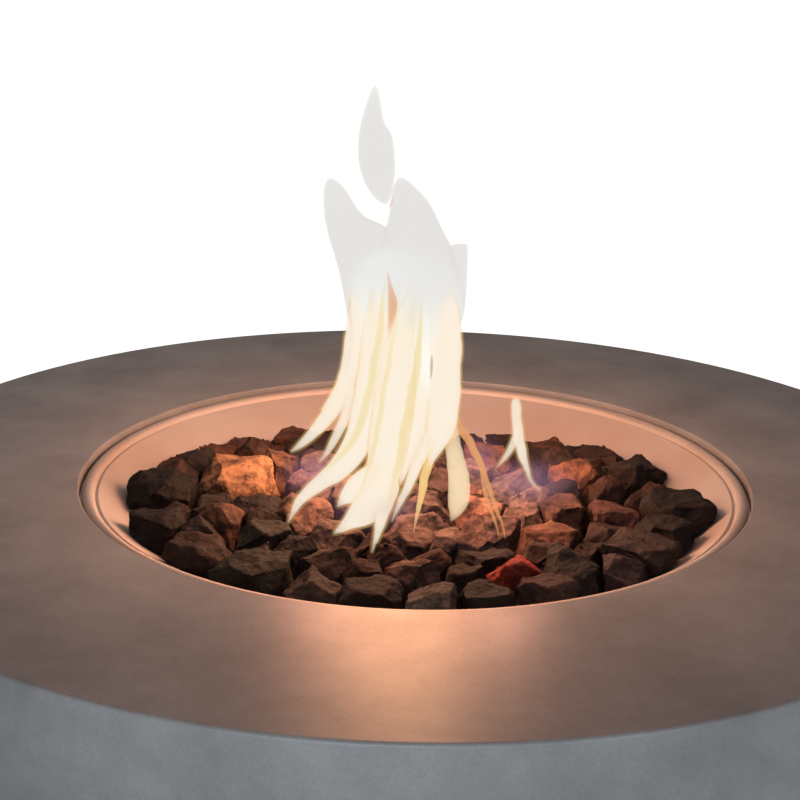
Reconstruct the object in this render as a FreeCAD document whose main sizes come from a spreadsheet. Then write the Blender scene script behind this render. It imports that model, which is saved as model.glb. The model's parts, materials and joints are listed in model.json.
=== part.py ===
import FreeCAD, Part
import math
import os
import random
import re
import Sketcher

# Round fire table cast in concrete, with a spun steel pan, a gas burner and lava rock.
# Millimetres. +Z is up, the ground is z = 0 under the centre, and the controls face -Y.

SIZE_TABLE = [
    ("top_radius", 540, "outer radius of the table top"),
    ("bowl_height", 430, "ground to table top"),
    ("foot_thickness", 12, "rubber foot under the bowl"),
    ("base_radius", 330, "outer radius of the bowl's base"),
    ("rim_band", 30, "straight band at the outer edge of the top"),
    ("wall", 16, "concrete wall"),
    ("edge_radius", 3, "rounding of the top's outer edge"),
    ("opening_radius", 321, "opening in the top"),
    ("opening_rounding", 2, "rounding of the opening's edge"),
    ("cut_past", 5, "how far a cut runs past the face that it starts from"),
    ("ledge_depth", 14, "top down to the ledge that carries the pan"),
    ("ledge_width", 19, "width of that ledge"),
    ("ledge_thickness", 16, "concrete under the ledge"),
    ("base_ring_inner", 270, "access opening in the base"),
    ("base_ring_height", 30, "thickened ring round the access opening"),
    ("notch_width", 44, "gas hose notch at the back of the base"),
    ("notch_height", 22, "height of that notch"),
    ("foot_circle", 300, "radius on which the feet stand"),
    ("foot_radius", 25, "rubber foot"),
    ("foot_chamfer", 3, "bevel round the foot's tread"),
    ("foot_bore", 3, "radius of the screw hole in the foot"),
    ("foot_sink_radius", 6.5, "sink for the screw's head"),
    ("foot_sink_depth", 5, "depth of that sink"),
    ("foot_screw_radius", 2.5, "shank of the foot's screw"),
    ("foot_screw_head", 5.5, "head radius of the foot's screw"),
    ("foot_screw_head_height", 3.2, "head height of the foot's screw"),
    ("foot_screw_grip", 18, "length of the foot's screw in the concrete"),
    ("drill_extra", 2, "how much deeper a blind hole is than its screw"),
    ("fixed_fit", 0.1, "radial clearance of a threaded or pushed-in piece"),
    ("shaft_fit", 0.05, "radial running clearance of a shaft"),
    ("loose_fit", 0.3, "clearance of moving covers and of stones"),
    ("gasket_thickness", 2, "heat-proof gasket under the pan's rim"),
    ("gasket_margin", 1, "gasket edge from the ledge's edge"),
    ("pan_sheet", 1.5, "sheet thickness of the pan"),
    ("pan_gap", 2.5, "pan rim to the concrete opening"),
    ("pan_drop", 4.5, "pan bead's crown below the table top"),
    ("bead_radius", 6, "rolled bead at the pan's rim"),
    ("bead_run_out", 30, "angle above level at which the bead turns into its inner flank"),
    ("valley_inset", 12.5, "groove inside the bead, from the pan's rim"),
    ("edge_lift", 1, "pan's inner edge above the groove"),
    ("edge_width", 3, "crisp inner edge of the pan from the groove"),
    ("valley_land", 0.9, "sheet under the groove, outside its bottom"),
    ("pan_slope", 40, "slope of the pan's wall at that edge, degrees"),
    ("pan_floor_radius", 132, "flat floor of the pan"),
    ("weep_circle", 118, "radius on which the drain holes lie"),
    ("weep_radius", 4, "drain hole"),
    ("burner_gap", 13.5, "pan floor to the underside of the burner's tubes"),
    ("ring_radius", 150, "outer burner ring"),
    ("inner_ring_radius", 75, "inner burner ring"),
    ("ring_tube", 10, "radius of the ring tubes"),
    ("cross_tube", 8, "radius of the cross tubes"),
    ("hub_radius", 17, "burner hub"),
    ("hub_drop", 2, "hub below the underside of the ring tubes"),
    ("socket_depth", 12, "threaded socket in the hub and in the mixer tube"),
    ("port_radius", 1.6, "gas port"),
    ("port_depth", 4, "gas port depth"),
    ("outer_ports", 24, "ports on the outer ring"),
    ("inner_ports", 12, "ports on the inner ring"),
    ("nipple_radius", 10.65, "half-inch pipe nipple"),
    ("nipple_bore", 8, "bore of the nipple"),
    ("nipple_length", 52, "length of the nipple"),
    ("locknut_across", 32, "locknut across flats"),
    ("locknut_height", 6, "locknut height"),
    ("mixer_radius", 15, "outside of the mixer tube"),
    ("mixer_length", 76, "length of the mixer tube"),
    ("mixer_collar", 18, "collar at the foot of the mixer tube"),
    ("collar_height", 4, "height of that collar"),
    ("throat_radius", 6, "venturi throat"),
    ("throat_drop", 28, "shoulder down to the throat"),
    ("chamber_radius", 9, "air chamber under the throat"),
    ("chamber_top", 26, "top of the air chamber over the tube's foot"),
    ("chamber_floor", 10, "floor of the air chamber over the tube's foot"),
    ("spud_radius", 6.8, "orifice spud in the mixer's foot"),
    ("window_wide", 16, "air window width"),
    ("window_tall", 13, "air window height"),
    ("window_sill", 1, "air window over the chamber's floor"),
    ("shutter_wall", 2, "wall of the air shutter"),
    ("shutter_height", 30, "height of the air shutter"),
    ("thumb_shank", 2, "shank radius of the shutter's thumb screw"),
    ("thumb_head", 5, "head radius of the thumb screw"),
    ("thumb_head_height", 5, "head height of the thumb screw"),
    ("thumb_stand_off", 4, "thumb screw head from the shutter"),
    ("thumb_up", 25, "thumb screw over the shutter's lower edge"),
    ("elbow_hex", 19, "orifice fitting across flats"),
    ("elbow_hex_height", 12, "height of its hexagon"),
    ("elbow_radius", 9, "body of the orifice fitting"),
    ("elbow_drop", 32, "length of the orifice fitting below the mixer"),
    ("elbow_arm_radius", 7, "inlet arm of the orifice fitting"),
    ("elbow_arm_length", 34, "reach of that arm from the axis"),
    ("elbow_arm_drop", 24, "axis of that arm below the mixer"),
    ("spud_height", 7, "spud above the hexagon"),
    ("orifice_radius", 1, "gas orifice"),
    ("elbow_bore", 3, "bore of the orifice fitting"),
    ("gas_pipe_radius", 4, "burner gas pipe"),
    ("gas_pipe_bore", 3, "bore of that pipe"),
    ("gas_nut_across", 17, "its nuts across flats"),
    ("gas_nut_height", 12, "height of those nuts"),
    ("control_height", 325, "height of the controls"),
    ("panel_setback", 32, "pocket floor behind the top's outer edge"),
    ("pocket_width", 180, "control pocket"),
    ("pocket_height", 80, "control pocket"),
    ("pocket_corner", 10, "corner radius of the pocket"),
    ("boss_height", 110, "thickened concrete behind the pocket"),
    ("boss_thickness", 20, "concrete behind the pocket's floor"),
    ("boss_angle", 26, "angle that it spans, degrees"),
    ("opening_width", 124, "opening behind the panel"),
    ("opening_height", 48, "opening behind the panel"),
    ("opening_corner", 6, "its corner radius"),
    ("panel_thickness", 2, "control panel"),
    ("panel_gap", 4, "panel edge to the pocket's wall"),
    ("panel_corner", 7, "panel corner radius"),
    ("panel_screw_x", 76, "panel screws from the middle"),
    ("panel_screw_z", 26, "panel screws from the middle"),
    ("panel_screw_radius", 2, "panel screw shank"),
    ("panel_screw_head", 4, "panel screw head radius"),
    ("panel_screw_head_height", 2.4, "panel screw head height"),
    ("insert_radius", 4, "threaded insert in the concrete"),
    ("insert_length", 12, "length of the insert"),
    ("knob_x", 30, "knob to the right of the middle"),
    ("igniter_x", -40, "igniter to the left of the middle"),
    ("cap_setback", 8, "panel to the valve's front cap"),
    ("cap_thickness", 6, "valve's front cap"),
    ("cap_width", 40, "valve's front cap"),
    ("cap_height", 30, "valve's front cap"),
    ("post_x", 14, "posts of the cap from the stem"),
    ("post_radius", 4.5, "posts of the cap"),
    ("valve_screw_radius", 1.9, "screws through the panel into the posts"),
    ("valve_screw_head", 3.4, "their heads"),
    ("valve_screw_head_height", 2.2, "their heads"),
    ("cap_screw_x", 10, "cap screws from the stem"),
    ("cap_screw_z", 11, "cap screws from the stem"),
    ("cap_screw_radius", 1.4, "cap screw shank"),
    ("cap_screw_head", 2.6, "cap screw head radius"),
    ("cap_screw_head_height", 2, "cap screw head height"),
    ("cap_screw_grip", 8, "cap screw in the valve body"),
    ("valve_width", 28, "valve body"),
    ("valve_height", 32, "valve body"),
    ("valve_depth", 42, "valve body"),
    ("valve_corner", 2, "rounded corners of the valve body"),
    ("plug_radius", 7, "turning plug in the valve"),
    ("plug_length", 32, "turning plug in the valve"),
    ("plug_port_from_back", 6.5, "gas port of the plug from its back end"),
    ("plug_port_radius", 2.5, "gas port of the plug"),
    ("plug_socket", 22, "depth of the stem's socket in the plug"),
    ("plug_recess", 6, "depth of the recess for the stem's collar"),
    ("stem_radius", 4, "valve stem"),
    ("stem_flat", 2.8, "flat of the stem from its axis"),
    ("stem_engaged", 16, "stem inside the plug"),
    ("stem_collar", 5, "collar that holds the stem behind the cap"),
    ("stem_collar_height", 1.5, "thickness of that collar"),
    ("stem_reach", 24, "stem in front of the panel's back"),
    ("stem_hole", 6, "radius of the hole in the panel for the stem"),
    ("outlet_drop", 4, "gas outlet below the stem's axis"),
    ("outlet_radius", 7, "gas outlet boss"),
    ("outlet_length", 10, "gas outlet boss"),
    ("outlet_bore", 3, "gas outlet bore"),
    ("port_x", 8.5, "pilot and sensor ports from the stem's axis"),
    ("port_rise", 10, "pilot and sensor ports above the stem's axis"),
    ("small_boss", 4.5, "pilot and sensor port bosses"),
    ("small_boss_length", 6, "pilot and sensor port bosses"),
    ("inlet_boss", 10, "gas inlet boss"),
    ("inlet_boss_length", 8, "gas inlet boss"),
    ("inlet_bore", 3.5, "gas inlet bore"),
    ("inlet_hex", 22, "inlet fitting across flats"),
    ("inlet_hex_height", 9, "inlet fitting's hexagon"),
    ("flare_radius", 7.94, "3/8 flare connection, 5/8 inch thread"),
    ("flare_length", 18, "length of that thread"),
    ("flare_tip_radius", 5.4, "end of the flare cone"),
    ("flare_cone", 3.5, "height of the flare cone"),
    ("knob_stand_off", 7, "knob skirt from the panel's face"),
    ("knob_travel", 4, "push of the knob"),
    ("knob_radius", 22, "knob skirt"),
    ("knob_face_radius", 19.5, "knob face"),
    ("knob_height", 18, "knob"),
    ("knob_wall", 2.5, "knob wall"),
    ("knob_hub", 8, "hub inside the knob"),
    ("knob_hollow", 6, "depth of the hollow under the knob"),
    ("knob_edge", 2, "straight foot of the knob and rounding of its face"),
    ("knob_grips", 12, "finger flutes round the knob"),
    ("grip_radius", 3.4, "flute radius"),
    ("grip_centre", 23.8, "flute axis from the knob's axis"),
    ("grip_start", 5, "flutes above the knob's foot"),
    ("pointer_width", 2, "pointer groove in the knob's face"),
    ("pointer_depth", 1, "pointer groove"),
    ("pointer_length", 11, "pointer groove"),
    ("pointer_inset", 4, "pointer groove from the face's edge"),
    ("igniter_flange", 15, "igniter flange radius"),
    ("igniter_flange_height", 3, "igniter flange"),
    ("flange_edge", 1, "rounding of the igniter flange"),
    ("igniter_radius", 11, "igniter barrel"),
    ("igniter_length", 58, "igniter barrel behind the panel's back"),
    ("igniter_bore_depth", 27, "depth of the button's guide"),
    ("igniter_lip", 6, "depth of the narrower mouth that keeps the button in"),
    ("igniter_tail", 3, "radius of the igniter's terminal"),
    ("igniter_tail_length", 8, "igniter's terminal"),
    ("igniter_nut_across", 30, "igniter nut across flats"),
    ("igniter_nut_height", 6, "igniter nut"),
    ("button_radius", 7.5, "igniter button"),
    ("button_skirt", 9, "wider foot of the button"),
    ("button_skirt_height", 8, "wider foot of the button"),
    ("button_proud", 5.5, "button above the flange"),
    ("button_travel", 5, "push of the button"),
    ("button_edge", 1.5, "rounding of the button's face"),
    ("pilot_radius", 112, "pilot from the table's axis"),
    ("bracket_length", 64, "pilot bracket"),
    ("bracket_width", 26, "pilot bracket"),
    ("bracket_thickness", 2, "pilot bracket"),
    ("bracket_corner", 3, "pilot bracket"),
    ("slot_length", 40, "slot in the pan under the pilot"),
    ("slot_width", 18, "slot in the pan under the pilot"),
    ("pilot_screw_x", 26, "pilot bracket screws"),
    ("pilot_screw_radius", 1.9, "pilot bracket screws"),
    ("pilot_screw_head", 3.4, "pilot bracket screws"),
    ("pilot_screw_head_height", 2.2, "pilot bracket screws"),
    ("pilot_screw_length", 8, "pilot bracket screws under the bracket"),
    ("probe_x", 13, "sensor and spark electrode beside the pilot"),
    ("pilot_tube", 5, "pilot burner tube radius"),
    ("pilot_hood", 6.8, "pilot burner hood radius"),
    ("pilot_hood_height", 8, "pilot burner hood"),
    ("hood_roof", 2, "pilot burner hood's roof"),
    ("slit_sill", 1, "pilot burner's slit above the hood's foot"),
    ("pilot_rise", 32, "pilot burner's top over the pan floor"),
    ("pilot_tail", 14, "pilot pieces below the pan floor"),
    ("pilot_bore", 3, "pilot burner bore"),
    ("seat_collar", 2, "height of the collars on the bracket"),
    ("sensor_radius", 2.5, "flame sensor"),
    ("sensor_collar", 4.2, "flame sensor collar"),
    ("sensor_rise", 28, "flame sensor tip over the pan floor"),
    ("insulator_radius", 3.2, "ceramic of the spark electrode"),
    ("insulator_collar", 5, "ceramic collar"),
    ("insulator_rise", 18, "ceramic's top over the pan floor"),
    ("spark_radius", 1, "spark electrode's wire"),
    ("spark_rise", 27, "bend of the wire over the pan floor"),
    ("spark_sideways", 5, "hooked end of the wire, towards the pilot"),
    ("spark_forward", 4, "hooked end of the wire, towards the front"),
    ("spark_hook", 2, "rise of the hooked end"),
    ("small_nut_across", 10, "pilot nuts across flats"),
    ("small_nut_height", 9, "pilot nuts"),
    ("pilot_pipe_radius", 2, "pilot gas pipe"),
    ("pilot_pipe_bore", 1.2, "pilot gas pipe"),
    ("sensor_lead_radius", 1.5, "flame sensor lead"),
    ("spark_lead_radius", 2, "ignition lead"),
    ("lead_drop", 41, "pilot pipe and leads under the pan's floor"),
    ("pipe_run", 55, "burner pipe straight out of the valve"),
    ("pipe_turn", 250, "where the burner pipe turns level, from the table's axis"),
    ("lead_run", 42, "pilot pipe and sensor lead straight out of the valve"),
    ("spark_lead_run", 45, "ignition lead straight out of the igniter"),
    ("lead_turn", 300, "where the pilot pipe and leads turn level, from the table's axis"),
    ("pilot_pipe_side", 4, "pilot pipe to the right of the middle where it turns"),
    ("sensor_lead_side", 28, "sensor lead to the right of the middle where it turns"),
    ("spark_lead_side", 26, "ignition lead to the left of the middle where it turns"),
    ("stone_top", 2, "highest stones below the table top"),
    ("stone_spread", 18, "how much lower some stones lie"),
    ("stone_crown", 3, "rounded top of a stone over its shoulder"),
    ("stone_reach", 250, "stone centres from the table's axis"),
    ("stone_back", 110, "distance behind the axis from which the stones lie lower"),
    ("stone_back_reach", 240, "distance behind the axis that no stone's centre passes"),
    ("stone_back_fall", 0.3, "how much lower they lie for each millimetre farther back"),
    ("stone_small", 21, "smallest stone radius"),
    ("stone_large", 34, "largest stone radius"),
    ("stone_low", 20, "radius of the stones between the burner rings"),
    ("stone_core", 16, "radius of the stones round the burner hub"),
    ("centre_sector", 115, "stones nearer to the axis than this make the centre sector"),
]

# Stones of the top layer that are placed one by one: x and y as shares of stone_reach,
# radius as a share of stone_large, and how low it lies as a share of stone_spread.
PLACED_STONES = [
    (-0.704, 0.136, 1.147, 0.00), (-0.976, -0.032, 0.971, 0.06), (-0.736, -0.288, 0.882, 0.22),
    (-0.672, 0.448, 0.706, 0.22), (-0.552, 0.296, 0.676, 0.06), (0.648, 0.252, 0.882, 0.22),
    (0.816, 0.264, 0.735, 0.17), (1.008, -0.152, 0.971, 0.28), (0.816, -0.552, 1.000, 0.44),
    (0.568, -0.704, 0.941, 0.44), (-0.760, -0.640, 0.882, 0.44), (-0.928, -0.392, 0.824, 0.39),
    (-0.544, -0.808, 0.971, 0.50), (-0.328, -0.928, 0.765, 0.61), (-0.136, -0.972, 0.824, 0.67),
    (0.072, -0.984, 0.735, 0.78), (0.248, -0.960, 0.765, 0.78), (0.352, -0.760, 0.824, 0.44),
    (0.928, -0.352, 0.794, 0.44), (0.712, -0.720, 0.706, 0.61), (0.448, -0.888, 0.735, 0.67),
    (0.304, 0.448, 0.824, 0.39), (-0.016, -0.784, 0.824, 0.44), (-0.288, -0.688, 0.882, 0.39),
    (-0.552, -0.448, 0.735, 0.44), (-0.416, -0.220, 0.824, 0.33), (0.488, -0.392, 0.824, 0.44),
    (0.760, -0.160, 0.824, 0.39), (0.560, -0.160, 0.765, 0.44), (-0.240, 0.472, 0.882, 0.39),
    (-0.440, 0.600, 0.824, 0.22), (0.040, 0.640, 0.824, 0.44), (0.472, 0.560, 0.794, 0.44),
]
STONE_SEED = 11
STONE_DARTS = 9000
STONE_PACKING = (0.84, 0.74)
STONE_FACES = 15
STONE_CHIP = (0.78, 1.0)
STONE_SWELL = 1.27
STONE_JITTER = 0.12
STONE_TWIST = 0.35
STONE_SQUASH = (0.82, 1.0)
STONE_TALL = 1.1
STONE_SHORTEST = 0.8
STONE_NEIGHBOURS = 1.4
STONE_LOWEST_SHARE = 0.3
STONE_LEAST_STAND = 0.6
WALL_STEPS = (-0.6, 0, 0.6, 1.1)
WALL_SWINGS = (-0.5, 0, 0.5)
WALL_FACET = 0.36
SECTOR_HALF_ANGLE = 45

BEND_SHARE = 0.45

# Shape of every screw head, as shares of its height and radius.
HEAD_EDGE = 0.4
HEAD_CROWN = 1.2
HEAD_FLAT = 0.5
SOCKET_ACROSS = 0.6
SOCKET_DEPTH = 0.5

LEFT = 1
RIGHT = -1

DOC = FreeCAD.newDocument("fire_table")
SHEET = DOC.addObject("Spreadsheet::Sheet", "Sizes")
for row, (name, number, meaning) in enumerate(SIZE_TABLE, start=1):
    SHEET.set(f"A{row}", name)
    SHEET.set(f"B{row}", str(number))
    SHEET.setAlias(f"B{row}", name)
    SHEET.set(f"C{row}", meaning)
DOC.recompute()
ALIASES = {name for name, number, meaning in SIZE_TABLE}
NODES = {}


def bound(text):
    """Expression text with each size name pointed at the sheet."""
    def cell(match):
        word = match.group(0)
        return "Sizes." + word if word in ALIASES else word
    return re.sub(r"[a-z][a-z_0-9]*", cell, str(text))


def value(text):
    """Number that an expression of sizes gives."""
    return float(SHEET.evalExpression(bound(text)))


def point(corner):
    """Vector from two or three expressions of sizes."""
    numbers = [value(item) for item in corner]
    return FreeCAD.Vector(*numbers)


def keep(label, item):
    """Name a finished sub-part, so that it is written as a node."""
    item.Label = label
    NODES[label] = item
    return item


def place(item, x, y, z, rotation=None):
    """Put a sub-part at a place given by expressions of sizes."""
    if rotation is not None:
        item.Placement = FreeCAD.Placement(FreeCAD.Vector(), rotation)
    item.setExpression("Placement.Base.x", bound(x))
    item.setExpression("Placement.Base.y", bound(y))
    item.setExpression("Placement.Base.z", bound(z))
    return item


FACING_FRONT = FreeCAD.Rotation(FreeCAD.Vector(1, 0, 0), 90)
FACING_BACK = FreeCAD.Rotation(FreeCAD.Vector(1, 0, 0), -90)
FACING_DOWN = FreeCAD.Rotation(FreeCAD.Vector(1, 0, 0), 180)


def new_body(name):
    """Empty body."""
    return DOC.addObject("PartDesign::Body", name)


def new_sketch(body, role, offset="0"):
    """Sketch on one of the body's own origin planes, moved along its normal."""
    sketch = body.newObject("Sketcher::SketchObject", body.Name + "_sketch")
    plane = next(item for item in body.Origin.OriginFeatures if item.Role == role)
    sketch.AttachmentSupport = [(plane, "")]
    sketch.MapMode = "FlatFace"
    sketch.setExpression("AttachmentOffset.Base.z", bound(offset))
    return sketch


def hold(sketch, geometry, end, x, y):
    """Fix a point of a sketch by expressions of sizes."""
    for kind, axis, text in (("DistanceX", -2, x), ("DistanceY", -1, y)):
        if text == "0":
            sketch.addConstraint(Sketcher.Constraint("PointOnObject", geometry, end, axis))
            continue
        index = sketch.addConstraint(
            Sketcher.Constraint(kind, -1, 1, geometry, end, value(text)))
        sketch.setExpression(f"Constraints[{index}]", bound(text))


def add_circle(sketch, x, y, radius):
    """Circle whose centre and radius are expressions of sizes."""
    centre = point((x, y, "0"))
    circle = sketch.addGeometry(
        Part.Circle(centre, FreeCAD.Vector(0, 0, 1), value(radius)))
    hold(sketch, circle, 3, x, y)
    index = sketch.addConstraint(Sketcher.Constraint("Radius", circle, value(radius)))
    sketch.setExpression(f"Constraints[{index}]", bound(radius))
    return circle


def add_arc(sketch, start, finish, radius, turn, large):
    """Arc from start to finish; returns its number and its two end codes."""
    chord = finish - start
    rise = math.sqrt(max(radius * radius - chord.Length * chord.Length / 4, 0))
    side = FreeCAD.Vector(-chord.y, chord.x, 0).normalize() * (rise * turn)
    middle = (start + finish) * 0.5
    centre = middle - side if large else middle + side
    first, second = (start, finish) if turn == LEFT else (finish, start)
    angles = [math.atan2(end.y - centre.y, end.x - centre.x) for end in (first, second)]
    circle = Part.Circle(centre, FreeCAD.Vector(0, 0, 1), radius)
    arc = sketch.addGeometry(Part.ArcOfCircle(circle, angles[0], angles[1]))
    return (arc, 1, 2) if turn == LEFT else (arc, 2, 1)


def add_outline(sketch, corners):
    """Closed outline. A corner is (x, y), or (x, y, radius, turn) where an arc starts."""
    places = [point((corner[0], corner[1], "0")) for corner in corners]
    sides = []
    for index, corner in enumerate(corners):
        start = places[index]
        finish = places[(index + 1) % len(places)]
        if len(corner) == 2:
            sides.append((sketch.addGeometry(Part.LineSegment(start, finish)), 1, 2))
            continue
        large = len(corner) == 5
        side = add_arc(sketch, start, finish, value(corner[2]), corner[3], large)
        sides.append(side)
        number = sketch.addConstraint(
            Sketcher.Constraint("Radius", side[0], value(corner[2])))
        sketch.setExpression(f"Constraints[{number}]", bound(corner[2]))
    for index, side in enumerate(sides):
        following = sides[(index + 1) % len(sides)]
        sketch.addConstraint(
            Sketcher.Constraint("Coincident", side[0], side[2], following[0], following[1]))
        hold(sketch, side[0], side[1], corners[index][0], corners[index][1])


def add_rounded(sketch, left, bottom, right, top, corner):
    """Rectangle with rounded corners."""
    add_outline(sketch, [
        (f"{left} + {corner}", bottom),
        (f"{right} - {corner}", bottom, corner, LEFT),
        (right, f"{bottom} + {corner}"),
        (right, f"{top} - {corner}", corner, LEFT),
        (f"{right} - {corner}", top),
        (f"{left} + {corner}", top, corner, LEFT),
        (left, f"{top} - {corner}"),
        (left, f"{bottom} + {corner}", corner, LEFT),
    ])


def add_hexagon(sketch, across):
    """Hexagon round the sketch's origin, given its size across flats."""
    tip = f"{across} / sqrt(3)"
    half = f"{across} / sqrt(12)"
    flat = f"{across} / 2"
    add_outline(sketch, [
        (tip, "0"), (half, flat), (f"-{half}", flat),
        (f"-{tip}", "0"), (f"-{half}", f"-{flat}"), (half, f"-{flat}"),
    ])


def pad(body, sketch, length, back=False, both=False):
    """Pad along the sketch's normal, the other way, or half each way."""
    item = body.newObject("PartDesign::Pad", body.Name + "_pad")
    item.Profile = sketch
    item.setExpression("Length", bound(length))
    item.Reversed = back
    if both:
        item.SideType = "Symmetric"
    return item


def pocket(body, sketch, depth, along=False, both=False):
    """Pocket against the sketch's normal, along it, or half each way."""
    item = body.newObject("PartDesign::Pocket", body.Name + "_pocket")
    item.Profile = sketch
    item.setExpression("Length", bound(depth))
    item.Reversed = along
    if both:
        item.SideType = "Symmetric"
    return item


def drill(body, x, y, radius, depth, offset="0", along=False, role="XY_Plane"):
    """Round hole from a plane of the body."""
    sketch = new_sketch(body, role, offset)
    add_circle(sketch, x, y, radius)
    return pocket(body, sketch, depth, along)


def boss(body, x, y, radius, length, offset="0", back=False, role="XY_Plane"):
    """Round boss on a plane of the body."""
    sketch = new_sketch(body, role, offset)
    add_circle(sketch, x, y, radius)
    return pad(body, sketch, length, back)


def revolve(body, sketch, kind="Revolution"):
    """Full turn of a sketch about its own vertical axis."""
    item = body.newObject("PartDesign::" + kind, body.Name + "_turned")
    item.Profile = sketch
    item.ReferenceAxis = (sketch, ["V_Axis"])
    item.Angle = 360
    return item


def repeat(body, features, count):
    """Copies of features spaced evenly round the body's Z axis."""
    item = body.newObject("PartDesign::PolarPattern", body.Name + "_pattern")
    axis = next(entry for entry in body.Origin.OriginFeatures if entry.Role == "Z_Axis")
    item.Originals = features
    item.Axis = (axis, [""])
    item.Angle = 360
    item.setExpression("Occurrences", bound(count))
    body.Tip = item
    return item


def turned(name, corners):
    """Body turned about its Z axis from a profile of radius and height."""
    body = new_body(name)
    sketch = new_sketch(body, "XZ_Plane")
    add_outline(sketch, corners)
    revolve(body, sketch)
    return body


def hex_nut(name, across, bore, height):
    """Nut that stands on its Z axis."""
    body = new_body(name)
    sketch = new_sketch(body, "XY_Plane")
    add_hexagon(sketch, across)
    add_circle(sketch, "0", "0", bore)
    pad(body, sketch, height)
    return body


def screw(name, head, head_height, shank, length):
    """Round-headed screw: head up from z = 0, shank down, hexagon socket in the head."""
    body = turned(name, [
        ("0", f"-({length})"), (shank, f"-({length})"), (shank, "0"), (head, "0"),
        (head, f"{head_height} * {HEAD_EDGE}", f"{head} * {HEAD_CROWN}", LEFT),
        (f"{head} * {HEAD_FLAT}", head_height), ("0", head_height),
    ])
    sketch = new_sketch(body, "XY_Plane", head_height)
    add_hexagon(sketch, f"{head} * {SOCKET_ACROSS}")
    pocket(body, sketch, f"{head_height} * {SOCKET_DEPTH}")
    return body


def group(label, items):
    """Separate solids that share a node."""
    item = DOC.addObject("Part::Compound", label)
    item.Links = items
    return keep(label, item)


def route_wire(points):
    """Straight runs joined by tangent arcs, each as large as its two runs allow."""
    edges = []
    last = points[0]
    for before, corner, after in zip(points, points[1:], points[2:]):
        come = corner - before
        leave = after - corner
        shorter = min(come.Length, leave.Length) * BEND_SHARE
        come.normalize()
        leave.normalize()
        start = corner - come * shorter
        finish = corner + leave * shorter
        half = come.getAngle(leave) / 2
        inward = (leave - come).normalize()
        radius = shorter / math.tan(half)
        bulge = radius * (1 - math.cos(half))
        top = (start + finish) * 0.5 - inward * bulge
        edges.append(Part.LineSegment(last, start).toShape())
        edges.append(Part.Arc(start, top, finish).toShape())
        last = finish
    edges.append(Part.LineSegment(last, points[-1]).toShape())
    return Part.Wire(edges)


def swept(path, points, radius):
    """Round bar along a path."""
    direction = points[1] - points[0]
    ring = Part.Wire(Part.Circle(points[0], direction, radius).toShape())
    return path.makePipeShell([ring], True, False)


def pipe(label, corners, radius, bore=None):
    """Pipe or lead along a route through corners given by expressions of sizes."""
    points = [point(corner) for corner in corners]
    path = route_wire(points)
    solid = swept(path, points, value(radius))
    if bore is not None:
        solid = solid.cut(swept(path, points, value(bore)))
    item = DOC.addObject("Part::Feature", label)
    item.Shape = solid
    item.Placement = FreeCAD.Placement()
    print(label, "length", round(path.Length, 1), "volume", round(solid.Volume, 1))
    return keep(label, item)


# Heights and radii that follow from the sizes above.
RIM_BASE = "(bowl_height - rim_band)"
SIDE_RISE = "(bowl_height - rim_band - foot_thickness)"
SIDE_RUN = "(top_radius - base_radius)"
SIDE_ARC = f"(({SIDE_RUN}^2 + {SIDE_RISE}^2) / (2 * {SIDE_RUN}))"
SIDE_CENTRE = f"(top_radius - {SIDE_ARC})"
LEDGE_TOP = "(bowl_height - ledge_depth)"
PAN_SEAT = f"({LEDGE_TOP} + gasket_thickness)"
LEDGE_INNER = "(opening_radius - ledge_width)"
PAN_RIM = "(opening_radius - pan_gap)"
VALLEY_RADIUS = f"({PAN_RIM} - valley_inset)"
PAN_EDGE_RADIUS = f"({VALLEY_RADIUS} - edge_width)"
BEAD_CENTRE = f"({PAN_RIM} - bead_radius)"
BEAD_HEIGHT = "(bowl_height - pan_drop - bead_radius)"
VALLEY = f"({PAN_SEAT} + pan_sheet)"
PAN_EDGE = f"({VALLEY} + edge_lift)"
DISH = f"({PAN_EDGE_RADIUS} / sin(pan_slope))"
DISH_CENTRE = f"({PAN_EDGE} + {PAN_EDGE_RADIUS} / tan(pan_slope))"
PAN_FLOOR = f"({DISH_CENTRE} - sqrt({DISH}^2 - pan_floor_radius^2))"
BURNER_LEVEL = f"({PAN_FLOOR} + burner_gap + ring_tube)"
BURNER_TOP = f"({BURNER_LEVEL} + ring_tube)"
HUB_FOOT = f"({PAN_FLOOR} + burner_gap - hub_drop)"
NIPPLE_TOP = f"({HUB_FOOT} + socket_depth)"
NIPPLE_FOOT = f"({NIPPLE_TOP} - nipple_length)"
MIXER_TOP = f"({NIPPLE_FOOT} + socket_depth)"
MIXER_FOOT = f"({MIXER_TOP} - mixer_length)"
ARM_LEVEL = f"({MIXER_FOOT} - elbow_arm_drop)"
LEAD_LEVEL = f"({PAN_FLOOR} - lead_drop)"
PANEL_PLANE = "(top_radius - panel_setback)"
BOSS_INNER = f"({PANEL_PLANE} - boss_thickness)"
VALVE_FRONT = "(cap_setback + cap_thickness)"
VALVE_BACK = f"({VALVE_FRONT} + valve_depth)"
PLUG_BACK = f"({VALVE_FRONT} + loose_fit + plug_length)"
PORT_DEPTH = f"({PLUG_BACK} - plug_port_from_back)"


def side_radius(depth, level):
    """Radius of the bowl's side, at a depth into the wall and at a level."""
    return f"({SIDE_CENTRE} + sqrt(({SIDE_ARC} - {depth})^2 - ({RIM_BASE} - ({level}))^2))"


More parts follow.
